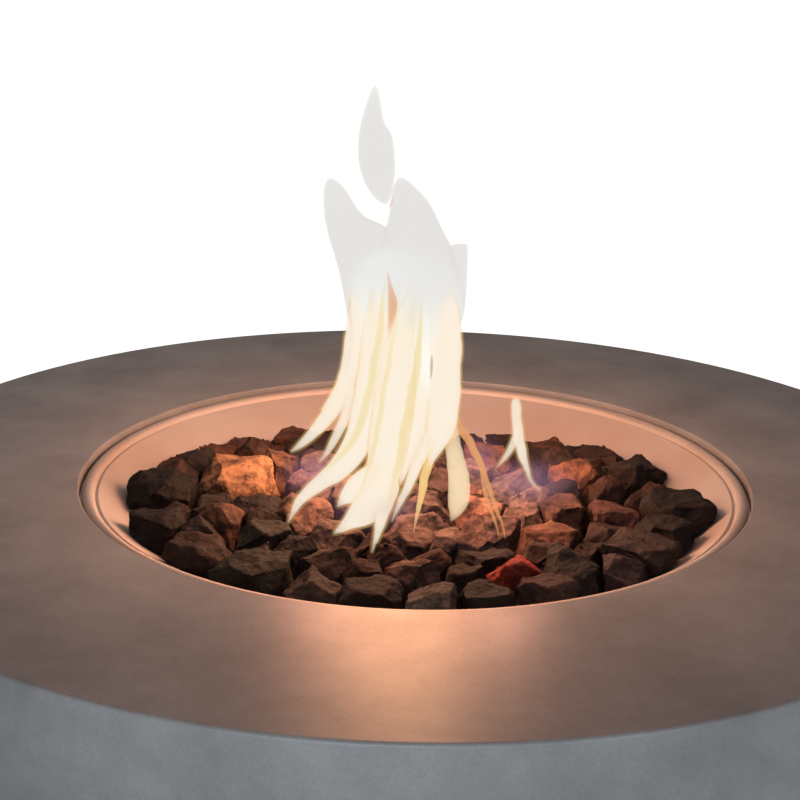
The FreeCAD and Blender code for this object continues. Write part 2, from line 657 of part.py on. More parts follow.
def concrete_bowl():
    """Thin-walled round casting with the opening, ledge, control pocket and hose notch."""
    body = new_body("concrete_bowl")
    outside = new_sketch(body, "XZ_Plane")
    add_outline(outside, [
        ("0", "foot_thickness"),
        ("base_radius", "foot_thickness", SIDE_ARC, LEFT),
        ("top_radius", RIM_BASE),
        ("top_radius", "bowl_height - edge_radius", "edge_radius", LEFT),
        ("top_radius - edge_radius", "bowl_height"),
        ("0", "bowl_height"),
    ])
    revolve(body, outside)
    ring_top = "(foot_thickness + base_ring_height)"
    inner_corner = "(rim_band - wall)"
    shoulder = "(opening_radius + wall)"
    inside = new_sketch(body, "XZ_Plane")
    add_outline(inside, [
        ("0", "foot_thickness - cut_past"),
        ("base_ring_inner", "foot_thickness - cut_past"),
        ("base_ring_inner", ring_top),
        (side_radius("wall", ring_top), ring_top, f"{SIDE_ARC} - wall", LEFT),
        ("top_radius - wall", RIM_BASE, inner_corner, LEFT),
        (f"top_radius - wall - {inner_corner}", "bowl_height - wall"),
        (f"{shoulder} + ledge_depth", "bowl_height - wall"),
        (shoulder, f"{LEDGE_TOP} - ledge_thickness"),
        (LEDGE_INNER, f"{LEDGE_TOP} - ledge_thickness"),
        (LEDGE_INNER, LEDGE_TOP),
        ("opening_radius", LEDGE_TOP),
        ("opening_radius", "bowl_height - opening_rounding", "opening_rounding", RIGHT),
        ("opening_radius + opening_rounding", "bowl_height"),
        ("opening_radius + opening_rounding", "bowl_height + cut_past"),
        ("0", "bowl_height + cut_past"),
    ])
    revolve(body, inside, "Groove")
    low = "(control_height - boss_height / 2)"
    high = "(control_height + boss_height / 2)"
    thick = new_sketch(body, "YZ_Plane")
    add_outline(thick, [
        (f"-{BOSS_INNER}", low),
        (f"-{side_radius('wall / 2', low)}", low, f"{SIDE_ARC} - wall / 2", RIGHT),
        (f"-{side_radius('wall / 2', high)}", high),
        (f"-{BOSS_INNER}", high),
    ])
    boss_turn = revolve(body, thick)
    boss_turn.Midplane = True
    boss_turn.setExpression("Angle", bound("boss_angle"))
    hollow = new_sketch(body, "XZ_Plane", PANEL_PLANE)
    add_rounded(hollow, "-pocket_width / 2", "control_height - pocket_height / 2",
                "pocket_width / 2", "control_height + pocket_height / 2", "pocket_corner")
    pocket(body, hollow, "panel_setback + wall", along=True)
    way = new_sketch(body, "XZ_Plane", PANEL_PLANE)
    add_rounded(way, "-opening_width / 2", "control_height - opening_height / 2",
                "opening_width / 2", "control_height + opening_height / 2", "opening_corner")
    pocket(body, way, "boss_thickness + wall")
    inserts = new_sketch(body, "XZ_Plane", PANEL_PLANE)
    for side in ("-", ""):
        for up in ("-", "+"):
            add_circle(inserts, f"{side}panel_screw_x", f"control_height {up} panel_screw_z",
                       "insert_radius + fixed_fit")
    pocket(body, inserts, "insert_length + drill_extra")
    notch = new_sketch(body, "XY_Plane", "foot_thickness")
    add_outline(notch, [
        ("-notch_width / 2", "base_ring_inner - cut_past"),
        ("notch_width / 2", "base_ring_inner - cut_past"),
        ("notch_width / 2", "top_radius"),
        ("-notch_width / 2", "top_radius"),
    ])
    pocket(body, notch, "notch_height", along=True)
    diagonal = "foot_circle * sqrt(0.5)"
    holes = drill(body, diagonal, diagonal, "foot_screw_radius + fixed_fit",
                  "foot_screw_grip + drill_extra", "foot_thickness", along=True)
    repeat(body, [holes], "4")
    return keep("concrete_bowl", body)


def feet():
    """Four rubber feet with sunk screws, on the diagonals."""
    pads = []
    screws = []
    diagonal = "foot_circle * sqrt(0.5)"
    for x_sign in ("-", ""):
        for y_sign in ("-", ""):
            foot = turned("foot", [
                ("foot_bore", "foot_sink_depth"), ("foot_sink_radius", "foot_sink_depth"),
                ("foot_sink_radius", "0"), ("foot_radius - foot_chamfer", "0"),
                ("foot_radius", "foot_chamfer"), ("foot_radius", "foot_thickness"),
                ("foot_bore", "foot_thickness"),
            ])
            pads.append(place(foot, f"{x_sign}{diagonal}", f"{y_sign}{diagonal}", "0"))
            fixing = screw("foot_screw", "foot_screw_head", "foot_screw_head_height",
                           "foot_screw_radius",
                           "foot_thickness - foot_sink_depth + foot_screw_grip")
            place(fixing, f"{x_sign}{diagonal}", f"{y_sign}{diagonal}", "foot_sink_depth",
                  FACING_DOWN)
            screws.append(fixing)
    group("rubber_feet", pads)
    group("foot_screws", screws)


def flange_gasket():
    """Flat ring between the ledge and the pan."""
    low = LEDGE_TOP
    inner = f"{LEDGE_INNER} + gasket_margin"
    outer = "opening_radius - gasket_margin"
    keep("flange_gasket", turned("flange_gasket", [
        (inner, low), (outer, low), (outer, PAN_SEAT), (inner, PAN_SEAT)]))


def fire_pan():
    """Spun pan: rolled bead, groove, crisp edge, dished wall and flat floor."""
    bead_cos = "cos(bead_run_out)"
    bead_sin = "sin(bead_run_out)"
    thin_bead = "(bead_radius - pan_sheet)"
    under = f"({DISH} + pan_sheet)"
    body = turned("fire_pan", [
        ("0", PAN_FLOOR),
        ("pan_floor_radius", PAN_FLOOR, DISH, LEFT),
        (PAN_EDGE_RADIUS, PAN_EDGE),
        (VALLEY_RADIUS, VALLEY),
        (f"{BEAD_CENTRE} - bead_radius * {bead_cos}",
         f"{BEAD_HEIGHT} + bead_radius * {bead_sin}", "bead_radius", RIGHT),
        (PAN_RIM, BEAD_HEIGHT),
        (PAN_RIM, PAN_SEAT),
        (f"{PAN_RIM} - pan_sheet", PAN_SEAT),
        (f"{PAN_RIM} - pan_sheet", BEAD_HEIGHT, thin_bead, LEFT),
        (f"{BEAD_CENTRE} - {thin_bead} * {bead_cos}",
         f"{BEAD_HEIGHT} + {thin_bead} * {bead_sin}"),
        (f"{VALLEY_RADIUS} + valley_land", PAN_SEAT),
        (f"sqrt({under}^2 - ({DISH_CENTRE} - {PAN_SEAT})^2)", PAN_SEAT, under, RIGHT),
        (f"sqrt({under}^2 - ({DISH_CENTRE} - {PAN_FLOOR} + pan_sheet)^2)",
         f"{PAN_FLOOR} - pan_sheet"),
        ("0", f"{PAN_FLOOR} - pan_sheet"),
    ])
    through = "pan_sheet * 2"
    top = f"{PAN_FLOOR} + pan_sheet / 2"
    drill(body, "0", "0", "nipple_radius + loose_fit", through, top)
    slot = new_sketch(body, "XY_Plane", top)
    add_rounded(slot, "-slot_length / 2", "-pilot_radius - slot_width / 2",
                "slot_length / 2", "-pilot_radius + slot_width / 2", "slot_width / 4")
    pocket(body, slot, through)
    for side in ("-", ""):
        drill(body, f"{side}pilot_screw_x", "-pilot_radius",
              "pilot_screw_radius + fixed_fit", through, top)
    weep = drill(body, "weep_circle * sqrt(0.5)", "weep_circle * sqrt(0.5)",
                 "weep_radius", through, top)
    repeat(body, [weep], "4")
    return keep("fire_pan", body)


def burner():
    """Two ring tubes joined by cross tubes to a hub, with gas ports on top."""
    body = new_body("burner")
    for radius in ("ring_radius", "inner_ring_radius"):
        ring = new_sketch(body, "XZ_Plane")
        add_circle(ring, radius, BURNER_LEVEL, "ring_tube")
        revolve(body, ring)
        if radius == "ring_radius":
            for role in ("YZ_Plane", "XZ_Plane"):
                cross = new_sketch(body, role)
                add_circle(cross, "0", BURNER_LEVEL, "cross_tube")
                pad(body, cross, "ring_radius * 2", both=True)
    boss(body, "0", "0", "hub_radius", f"{BURNER_TOP} - {HUB_FOOT}", HUB_FOOT)
    drill(body, "0", "0", "nipple_radius + fixed_fit", "socket_depth", HUB_FOOT, along=True)
    for radius, count in (("ring_radius", "outer_ports"), ("inner_ring_radius", "inner_ports")):
        port = drill(body, f"{radius} * cos(180 / {count})", f"{radius} * sin(180 / {count})",
                     "port_radius", "port_depth", BURNER_TOP)
        repeat(body, [port], count)
    body.Placement = FreeCAD.Placement(
        FreeCAD.Vector(), FreeCAD.Rotation(FreeCAD.Vector(0, 0, 1), 45))
    return keep("burner", body)


def gas_train():
    """Nipple, locknuts, mixer tube, air shutter and orifice fitting under the burner."""
    keep("burner_nipple", turned("burner_nipple", [
        ("nipple_bore", NIPPLE_FOOT), ("nipple_radius", NIPPLE_FOOT),
        ("nipple_radius", NIPPLE_TOP), ("nipple_bore", NIPPLE_TOP)]))
    locknuts = []
    for level in (PAN_FLOOR, f"{PAN_FLOOR} - pan_sheet - locknut_height"):
        nut = hex_nut("locknut", "locknut_across", "nipple_radius + fixed_fit",
                      "locknut_height")
        locknuts.append(place(nut, "0", "0", level))
    group("burner_locknuts", locknuts)
    mixer = turned("mixer_tube", [
        ("spud_radius + fixed_fit", MIXER_FOOT),
        ("mixer_collar", MIXER_FOOT),
        ("mixer_collar", f"{MIXER_FOOT} + collar_height"),
        ("mixer_radius", f"{MIXER_FOOT} + collar_height"),
        ("mixer_radius", MIXER_TOP),
        ("nipple_radius + fixed_fit", MIXER_TOP),
        ("nipple_radius + fixed_fit", NIPPLE_FOOT),
        ("nipple_bore", NIPPLE_FOOT),
        ("throat_radius", f"{NIPPLE_FOOT} - throat_drop"),
        ("chamber_radius", f"{MIXER_FOOT} + chamber_top"),
        ("chamber_radius", f"{MIXER_FOOT} + chamber_floor"),
        ("spud_radius + fixed_fit", f"{MIXER_FOOT} + chamber_floor"),
    ])
    window_low = f"{MIXER_FOOT} + chamber_floor + window_sill"
    add_windows(mixer, window_low)
    keep("mixer_tube", mixer)
    shutter_foot = f"({MIXER_FOOT} + collar_height + loose_fit)"
    inner = "(mixer_radius + loose_fit)"
    outer = f"({inner} + shutter_wall)"
    shutter = turned("air_shutter", [
        (inner, shutter_foot), (outer, shutter_foot),
        (outer, f"{shutter_foot} + shutter_height"), (inner, f"{shutter_foot} + shutter_height")])
    add_windows(shutter, window_low)
    hole = new_sketch(shutter, "XZ_Plane")
    add_circle(hole, "0", f"{shutter_foot} + thumb_up", "thumb_shank + fixed_fit")
    pocket(shutter, hole, "mixer_collar * 2")
    keep("air_shutter", shutter)
    reach = "(shutter_wall + thumb_stand_off)"
    thumb = turned("shutter_screw", [
        ("0", f"-{reach}"), ("thumb_shank", f"-{reach}"), ("thumb_shank", "0"),
        ("thumb_head", "0"), ("thumb_head", "thumb_head_height"), ("0", "thumb_head_height")])
    place(thumb, "0", f"{outer} + thumb_stand_off", f"{shutter_foot} + thumb_up", FACING_BACK)
    keep("shutter_screw", thumb)
    fitting = new_body("orifice_fitting")
    hexagon = new_sketch(fitting, "XY_Plane", f"{MIXER_FOOT} - elbow_hex_height")
    add_hexagon(hexagon, "elbow_hex")
    pad(fitting, hexagon, "elbow_hex_height")
    boss(fitting, "0", "0", "elbow_radius", "elbow_drop - elbow_hex_height",
         f"{MIXER_FOOT} - elbow_drop")
    boss(fitting, "0", "0", "spud_radius", "spud_height", MIXER_FOOT)
    boss(fitting, "0", ARM_LEVEL, "elbow_arm_radius", "elbow_arm_length", role="XZ_Plane")
    drill(fitting, "0", ARM_LEVEL, "elbow_bore", "elbow_arm_length", "elbow_arm_length",
          role="XZ_Plane")
    drill(fitting, "0", "0", "elbow_bore", "elbow_arm_drop + spud_height - elbow_bore",
          ARM_LEVEL, along=True)
    drill(fitting, "0", "0", "orifice_radius", "elbow_bore * 2", f"{MIXER_FOOT} + spud_height")
    keep("orifice_fitting", fitting)


def add_windows(body, low):
    """Two air windows, left and right, through a tube."""
    sketch = new_sketch(body, "YZ_Plane")
    add_outline(sketch, [
        ("-window_wide / 2", low), ("window_wide / 2", low),
        ("window_wide / 2", f"{low} + window_tall"), ("-window_wide / 2", f"{low} + window_tall")])
    pocket(body, sketch, "mixer_collar * 4", both=True)


def front_place(item, x, out, up="0"):
    """Put a piece in the control pocket; its Z axis points out of the panel."""
    return place(item, x, f"-{PANEL_PLANE} - ({out})", f"control_height + {up}", FACING_FRONT)


def control_panel():
    """Steel panel with its four screws and the inserts in the concrete."""
    panel = new_body("control_panel")
    plate = new_sketch(panel, "XY_Plane")
    half_width = "(pocket_width / 2 - panel_gap)"
    half_height = "(pocket_height / 2 - panel_gap)"
    add_rounded(plate, f"-{half_width}", f"-{half_height}", half_width, half_height,
                "panel_corner")
    pad(panel, plate, "panel_thickness")
    holes = new_sketch(panel, "XY_Plane", "panel_thickness")
    add_circle(holes, "knob_x", "0", "stem_hole")
    add_circle(holes, "igniter_x", "0", "igniter_radius + loose_fit")
    for side in ("-", "+"):
        add_circle(holes, f"knob_x {side} post_x", "0", "valve_screw_radius + loose_fit")
    for side in ("-", ""):
        for up in ("-", ""):
            add_circle(holes, f"{side}panel_screw_x", f"{up}panel_screw_z",
                       "panel_screw_radius + loose_fit")
    pocket(panel, holes, "panel_thickness")
    keep("control_panel", front_place(panel, "0", "0"))
    screws = []
    inserts = []
    for side in ("-", ""):
        for up in ("-", ""):
            fixing = screw("panel_screw", "panel_screw_head", "panel_screw_head_height",
                           "panel_screw_radius", "panel_thickness + insert_length")
            front_place(fixing, f"{side}panel_screw_x", "panel_thickness", f"{up}panel_screw_z")
            screws.append(fixing)
            insert = turned("insert", [
                ("panel_screw_radius + fixed_fit", "-insert_length"),
                ("insert_radius", "-insert_length"), ("insert_radius", "0"),
                ("panel_screw_radius + fixed_fit", "0")])
            front_place(insert, f"{side}panel_screw_x", "0", f"{up}panel_screw_z")
            inserts.append(insert)
    group("panel_screws", screws)
    group("panel_inserts", inserts)


def gas_valve():
    """Valve body, front cap, turning plug, stem, knob, screws and inlet fitting."""
    valve = new_body("valve_body")
    block = new_sketch(valve, "XY_Plane", f"-{VALVE_FRONT}")
    add_rounded(block, "-valve_width / 2", "-valve_height / 2", "valve_width / 2",
                "valve_height / 2", "valve_corner")
    pad(valve, block, "valve_depth", back=True)
    boss(valve, "0", "-outlet_drop", "outlet_radius", "outlet_length", f"-{VALVE_BACK}",
         back=True)
    for side in ("-", ""):
        boss(valve, f"{side}port_x", "port_rise", "small_boss", "small_boss_length",
             f"-{VALVE_BACK}", back=True)
    boss(valve, "0", f"-{PORT_DEPTH}", "inlet_boss", "inlet_boss_length",
         "valve_height / 2", role="XZ_Plane")
    drill(valve, "0", "0", "plug_radius + shaft_fit",
          "plug_length + loose_fit * 2", f"-{VALVE_FRONT}")
    drill(valve, "0", "-outlet_drop", "outlet_bore", f"{VALVE_BACK} + outlet_length - {PLUG_BACK}",
          f"-{VALVE_BACK} - outlet_length", along=True)
    drill(valve, "0", f"-{PORT_DEPTH}", "inlet_bore",
          "valve_height / 2 + inlet_boss_length - plug_radius / 2",
          "valve_height / 2 + inlet_boss_length", role="XZ_Plane")
    for side, up in (("-", ""), ("", "-")):
        drill(valve, f"{side}cap_screw_x", f"{up}cap_screw_z", "cap_screw_radius + fixed_fit",
              "cap_screw_grip + drill_extra", f"-{VALVE_FRONT}")
    keep("valve_body", front_place(valve, "knob_x", "0"))

    cap = new_body("valve_cap")
    plate = new_sketch(cap, "XY_Plane", f"-{VALVE_FRONT}")
    add_rounded(plate, "-cap_width / 2", "-cap_height / 2", "cap_width / 2", "cap_height / 2",
                "post_radius")
    pad(cap, plate, "cap_thickness")
    for side in ("-", ""):
        boss(cap, f"{side}post_x", "0", "post_radius", "cap_setback", "-cap_setback")
    for side in ("-", ""):
        drill(cap, f"{side}post_x", "0", "valve_screw_radius + fixed_fit", VALVE_FRONT)
    drill(cap, "0", "0", "stem_radius + shaft_fit", "cap_thickness", "-cap_setback")
    for side, up in (("-", ""), ("", "-")):
        drill(cap, f"{side}cap_screw_x", f"{up}cap_screw_z", "cap_screw_radius + fixed_fit",
              "cap_thickness", "-cap_setback")
    keep("valve_cap", front_place(cap, "knob_x", "0"))
    cap_screws = []
    for side, up in (("-", ""), ("", "-")):
        fixing = screw("cap_screw", "cap_screw_head", "cap_screw_head_height",
                       "cap_screw_radius", "cap_thickness + cap_screw_grip")
        front_place(fixing, f"knob_x + {side}cap_screw_x", "-cap_setback", f"{up}cap_screw_z")
        cap_screws.append(fixing)
    group("cap_screws", cap_screws)
    panel_side = []
    for side in ("-", ""):
        fixing = screw("valve_screw", "valve_screw_head", "valve_screw_head_height",
                       "valve_screw_radius", "panel_thickness + cap_setback")
        front_place(fixing, f"knob_x + {side}post_x", "panel_thickness")
        panel_side.append(fixing)
    group("valve_screws", panel_side)

    plug = new_body("valve_plug")
    boss(plug, "0", "0", "plug_radius", "plug_length", f"-{VALVE_FRONT} - loose_fit", back=True)
    socket = new_sketch(plug, "XY_Plane", f"-{VALVE_FRONT} - loose_fit")
    add_flatted(socket, "(stem_radius + shaft_fit)", "(stem_flat + shaft_fit)")
    pocket(plug, socket, "plug_socket")
    drill(plug, "0", "0", "stem_collar + loose_fit", "plug_recess",
          f"-{VALVE_FRONT} - loose_fit")
    drill(plug, "0", "0", "plug_port_radius", "plug_port_from_back", f"-{PLUG_BACK}", along=True)
    drill(plug, "0", f"-{PORT_DEPTH}", "plug_port_radius", "plug_radius", "plug_radius",
          role="XZ_Plane")
    keep("valve_plug", front_place(plug, "knob_x", "0"))

    stem = new_body("valve_stem")
    flatted_end = f"({VALVE_FRONT} + stem_engaged)"
    flatted = new_sketch(stem, "XY_Plane", f"-{flatted_end}")
    add_flatted(flatted, "stem_radius", "stem_flat")
    pad(stem, flatted, f"{flatted_end} - cap_setback")
    boss(stem, "0", "0", "stem_radius", "cap_setback + stem_reach", "-cap_setback")
    boss(stem, "0", "0", "stem_collar", "stem_collar_height", f"-{VALVE_FRONT} - loose_fit",
         back=True)
    keep("valve_stem", front_place(stem, "knob_x", "0"))

    foot = "(panel_thickness + knob_stand_off)"
    top = f"({foot} + knob_height)"
    ceiling = f"({foot} + knob_hollow)"
    bore = "(stem_radius + fixed_fit)"
    knob = turned("control_knob", [
        (bore, foot), ("knob_hub", foot), ("knob_hub", ceiling),
        ("knob_radius - knob_wall", ceiling), ("knob_radius - knob_wall", foot),
        ("knob_radius", foot), ("knob_radius", f"{foot} + knob_edge"),
        ("knob_face_radius", f"{top} - knob_edge", "knob_edge", LEFT),
        ("knob_face_radius - knob_edge", top), ("0", top), ("0", "stem_reach + loose_fit"),
        (bore, "stem_reach + loose_fit")])
    flute = drill(knob, "grip_centre", "0", "grip_radius", "knob_height - grip_start",
                  f"{foot} + grip_start", along=True)
    repeat(knob, [flute], "knob_grips")
    pointer = new_sketch(knob, "XY_Plane", top)
    pointer_end = "(knob_face_radius - pointer_inset)"
    add_outline(pointer, [
        ("-pointer_width / 2", f"{pointer_end} - pointer_length"),
        ("pointer_width / 2", f"{pointer_end} - pointer_length"),
        ("pointer_width / 2", pointer_end), ("-pointer_width / 2", pointer_end)])
    pocket(knob, pointer, "pointer_depth")
    keep("control_knob", front_place(knob, "knob_x", "0"))

    inlet = new_body("inlet_fitting")
    hexagon = new_sketch(inlet, "XY_Plane")
    add_hexagon(hexagon, "inlet_hex")
    pad(inlet, hexagon, "inlet_hex_height")
    nose = new_sketch(inlet, "XZ_Plane")
    thread_end = "(inlet_hex_height + flare_length)"
    add_outline(nose, [
        ("0", "inlet_hex_height"), ("flare_radius", "inlet_hex_height"),
        ("flare_radius", thread_end), ("flare_tip_radius", f"{thread_end} + flare_cone"),
        ("0", f"{thread_end} + flare_cone")])
    revolve(inlet, nose)
    drill(inlet, "0", "0", "inlet_bore", f"{thread_end} + flare_cone", along=True)
    place(inlet, "knob_x", f"-{PANEL_PLANE} + {PORT_DEPTH}",
          "control_height - valve_height / 2 - inlet_boss_length", FACING_DOWN)
    keep("inlet_fitting", inlet)


def add_flatted(sketch, radius, flat):
    """Circle with a flat on its upper side."""
    half = f"sqrt({radius}^2 - {flat}^2)"
    add_outline(sketch, [
        (f"-{half}", flat, radius, LEFT, "large"), (half, flat)])


def igniter():
    """Push-button igniter: body, button and the nut behind the panel."""
    face = "(panel_thickness + igniter_flange_height)"
    body = turned("igniter_body", [
        ("0", "-igniter_length - igniter_tail_length"),
        ("igniter_tail", "-igniter_length - igniter_tail_length"),
        ("igniter_tail", "-igniter_length"), ("igniter_radius", "-igniter_length"),
        ("igniter_radius", "panel_thickness"), ("igniter_flange", "panel_thickness"),
        ("igniter_flange", f"{face} - flange_edge", "flange_edge", LEFT),
        ("igniter_flange - flange_edge", face),
        ("button_radius + loose_fit", face),
        ("button_radius + loose_fit", f"{face} - igniter_lip"),
        ("button_skirt + loose_fit", f"{face} - igniter_lip"),
        ("button_skirt + loose_fit", f"{face} - igniter_bore_depth"),
        ("0", f"{face} - igniter_bore_depth")])
    keep("igniter_body", front_place(body, "igniter_x", "0"))
    top = f"({face} + button_proud)"
    skirt_top = f"({face} - igniter_lip - loose_fit)"
    foot = f"({skirt_top} - button_skirt_height)"
    button = turned("igniter_button", [
        ("0", foot), ("button_skirt", foot), ("button_skirt", skirt_top),
        ("button_radius", skirt_top),
        ("button_radius", f"{top} - button_edge", "button_edge", LEFT),
        ("button_radius - button_edge", top), ("0", top)])
    keep("igniter_button", front_place(button, "igniter_x", "0"))
    nut = hex_nut("igniter_nut", "igniter_nut_across", "igniter_radius + fixed_fit",
                  "igniter_nut_height")
    keep("igniter_nut", front_place(nut, "igniter_x", "-igniter_nut_height"))


def pilot_place(item, x):
    """Put a piece at the pilot; its z = 0 is the pan floor."""
    return place(item, x, "-pilot_radius", PAN_FLOOR)


def pilot():
    """Pilot bracket with burner, flame sensor and spark electrode."""
    bracket = new_body("pilot_bracket")
    plate = new_sketch(bracket, "XY_Plane")
    add_rounded(plate, "-bracket_length / 2", "-bracket_width / 2", "bracket_length / 2",
                "bracket_width / 2", "bracket_corner")
    pad(bracket, plate, "bracket_thickness")
    holes = new_sketch(bracket, "XY_Plane", "bracket_thickness")
    add_circle(holes, "0", "0", "pilot_tube + fixed_fit")
    add_circle(holes, "probe_x", "0", "sensor_radius + fixed_fit")
    add_circle(holes, "-probe_x", "0", "insulator_radius + fixed_fit")
    for side in ("-", ""):
        add_circle(holes, f"{side}pilot_screw_x", "0", "pilot_screw_radius + fixed_fit")
    pocket(bracket, holes, "bracket_thickness")
    keep("pilot_bracket", pilot_place(bracket, "0"))
    screws = []
    for side in ("-", ""):
        fixing = screw("pilot_screw", "pilot_screw_head", "pilot_screw_head_height",
                       "pilot_screw_radius", "pilot_screw_length")
        place(fixing, f"{side}pilot_screw_x", "-pilot_radius", f"{PAN_FLOOR} + bracket_thickness")
        screws.append(fixing)
    group("pilot_screws", screws)
    seat = "bracket_thickness"
    burner_tube = turned("pilot_burner", [
        ("pilot_bore", "-pilot_tail"), ("pilot_tube", "-pilot_tail"), ("pilot_tube", seat),
        ("pilot_hood", seat), ("pilot_hood", f"{seat} + seat_collar"),
        ("pilot_tube", f"{seat} + seat_collar"),
        ("pilot_tube", "pilot_rise - pilot_hood_height"),
        ("pilot_hood", "pilot_rise - pilot_hood_height"), ("pilot_hood", "pilot_rise"),
        ("0", "pilot_rise"), ("0", "pilot_rise - hood_roof"),
        ("pilot_bore", "pilot_rise - hood_roof")])
    slit = new_sketch(burner_tube, "XZ_Plane")
    slit_foot = "pilot_rise - pilot_hood_height + slit_sill"
    slit_top = "pilot_rise - hood_roof"
    add_outline(slit, [
        ("-pilot_bore", slit_foot), ("pilot_bore", slit_foot),
        ("pilot_bore", slit_top), ("-pilot_bore", slit_top)])
    pocket(burner_tube, slit, "pilot_hood * 2")
    keep("pilot_burner", pilot_place(burner_tube, "0"))
    sensor = turned("thermocouple", [
        ("0", "-pilot_tail"), ("sensor_radius", "-pilot_tail"), ("sensor_radius", seat),
        ("sensor_collar", seat), ("sensor_collar", f"{seat} + seat_collar"),
        ("sensor_radius", f"{seat} + seat_collar"),
        ("sensor_radius", "sensor_rise - sensor_radius", "sensor_radius", LEFT),
        ("0", "sensor_rise")])
    keep("thermocouple", pilot_place(sensor, "probe_x"))
    ceramic = turned("electrode_insulator", [
        ("spark_radius + fixed_fit", "-pilot_tail"), ("insulator_radius", "-pilot_tail"),
        ("insulator_radius", seat), ("insulator_collar", seat),
        ("insulator_collar", f"{seat} + seat_collar"),
        ("insulator_radius", f"{seat} + seat_collar"),
        ("insulator_radius", "insulator_rise"), ("spark_radius + fixed_fit", "insulator_rise")])
    keep("electrode_insulator", pilot_place(ceramic, "-probe_x"))
    pipe("electrode_wire", [
        ("-probe_x", "-pilot_radius", f"{PAN_FLOOR} - pilot_tail"),
        ("-probe_x", "-pilot_radius", f"{PAN_FLOOR} + spark_rise"),
        ("-probe_x + spark_sideways", "-pilot_radius - spark_forward",
         f"{PAN_FLOOR} + spark_rise + spark_hook")], "spark_radius")


def gas_pipes():
    """Burner gas pipe, pilot gas pipe and the two leads, with their nuts."""
    outlet_y = f"(-{PANEL_PLANE} + {VALVE_BACK} + outlet_length)"
    outlet_z = "(control_height - outlet_drop)"
    arm_y = "(-elbow_arm_length)"
    pipe("burner_gas_pipe", [
        ("knob_x", outlet_y, outlet_z), ("knob_x", f"{outlet_y} + pipe_run", outlet_z),
        ("0", "-pipe_turn", ARM_LEVEL), ("0", arm_y, ARM_LEVEL)],
        "gas_pipe_radius", "gas_pipe_bore")
    nuts = []
    valve_nut = hex_nut("gas_nut", "gas_nut_across", "gas_pipe_radius + fixed_fit",
                        "gas_nut_height")
    nuts.append(place(valve_nut, "knob_x", outlet_y, outlet_z, FACING_BACK))
    arm_nut = hex_nut("gas_nut", "gas_nut_across", "gas_pipe_radius + fixed_fit",
                      "gas_nut_height")
    nuts.append(place(arm_nut, "0", arm_y, ARM_LEVEL, FACING_FRONT))
    group("gas_pipe_nuts", nuts)
    port_y = f"(-{PANEL_PLANE} + {VALVE_BACK} + small_boss_length)"
    port_z = "(control_height + port_rise)"
    under = f"({PAN_FLOOR} - pilot_tail)"
    pipe("pilot_gas_pipe", [
        ("knob_x - port_x", port_y, port_z), ("knob_x - port_x", f"{port_y} + lead_run", port_z),
        ("pilot_pipe_side", "-lead_turn", LEAD_LEVEL), ("0", "-pilot_radius", LEAD_LEVEL),
        ("0", "-pilot_radius", under)], "pilot_pipe_radius", "pilot_pipe_bore")
    pipe("thermocouple_lead", [
        ("knob_x + port_x", port_y, port_z), ("knob_x + port_x", f"{port_y} + lead_run", port_z),
        ("sensor_lead_side", "-lead_turn", LEAD_LEVEL), ("probe_x", "-pilot_radius", LEAD_LEVEL),
        ("probe_x", "-pilot_radius", under)], "sensor_lead_radius")
    tail_y = f"(-{PANEL_PLANE} + igniter_length + igniter_tail_length)"
    pipe("ignition_lead", [
        ("igniter_x", tail_y, "control_height"),
        ("igniter_x", f"{tail_y} + spark_lead_run", "control_height"),
        ("-spark_lead_side", "-lead_turn", LEAD_LEVEL), ("-probe_x", "-pilot_radius", LEAD_LEVEL),
        ("-probe_x", "-pilot_radius", under)], "spark_lead_radius")
    small = []
    for at_valve, at_pilot, bore in (("knob_x - port_x", "0", "pilot_pipe_radius"),
                                     ("knob_x + port_x", "probe_x", "sensor_lead_radius")):
        for x, y, z, turn in ((at_valve, port_y, port_z, FACING_BACK),
                              (at_pilot, "-pilot_radius", f"{under} - small_nut_height", None)):
            nut = hex_nut("pilot_nut", "small_nut_across", f"{bore} + fixed_fit",
                          "small_nut_height")
            small.append(place(nut, x, y, z, turn))
    group("pilot_nuts", small)


def clip(faces, through, normal):
    """Part of a convex solid, kept as flat faces, that lies behind a plane."""
    kept = []
    rim = []
    for face in faces:
        heights = [(corner - through).dot(normal) for corner in face]
        part = []
        for index, corner in enumerate(face):
            after = (index + 1) % len(face)
            if heights[index] <= 0:
                part.append(corner)
            if (heights[index] > 0) != (heights[after] > 0):
                share = heights[index] / (heights[index] - heights[after])
                crossing = corner + (face[after] - corner) * share
                part.append(crossing)
                rim.append(crossing)
        if len(part) > 2:
            kept.append(part)
    if len(rim) > 2:
        centre = sum(rim, FreeCAD.Vector()) * (1 / len(rim))
        first = (rim[0] - centre).normalize()
        second = normal.cross(first)
        rim.sort(key=lambda item: math.atan2((item - centre).dot(second),
                                             (item - centre).dot(first)))
        kept.append(rim)
    return [tidy for tidy in map(drop_short_sides, kept) if len(tidy) > 2]


def drop_short_sides(face, shortest=1e-4):
    """Face without corners that lie on the corner before them."""
    return [corner for index, corner in enumerate(face)
            if (corner - face[index - 1]).Length > shortest]


def stone_solid(faces):
    """Closed solid from flat faces."""
    sides = [Part.Face(Part.makePolygon(face + [face[0]])) for face in faces]
    shell = Part.makeShell(sides)
    shell.sewShape()
    return Part.Solid(shell)


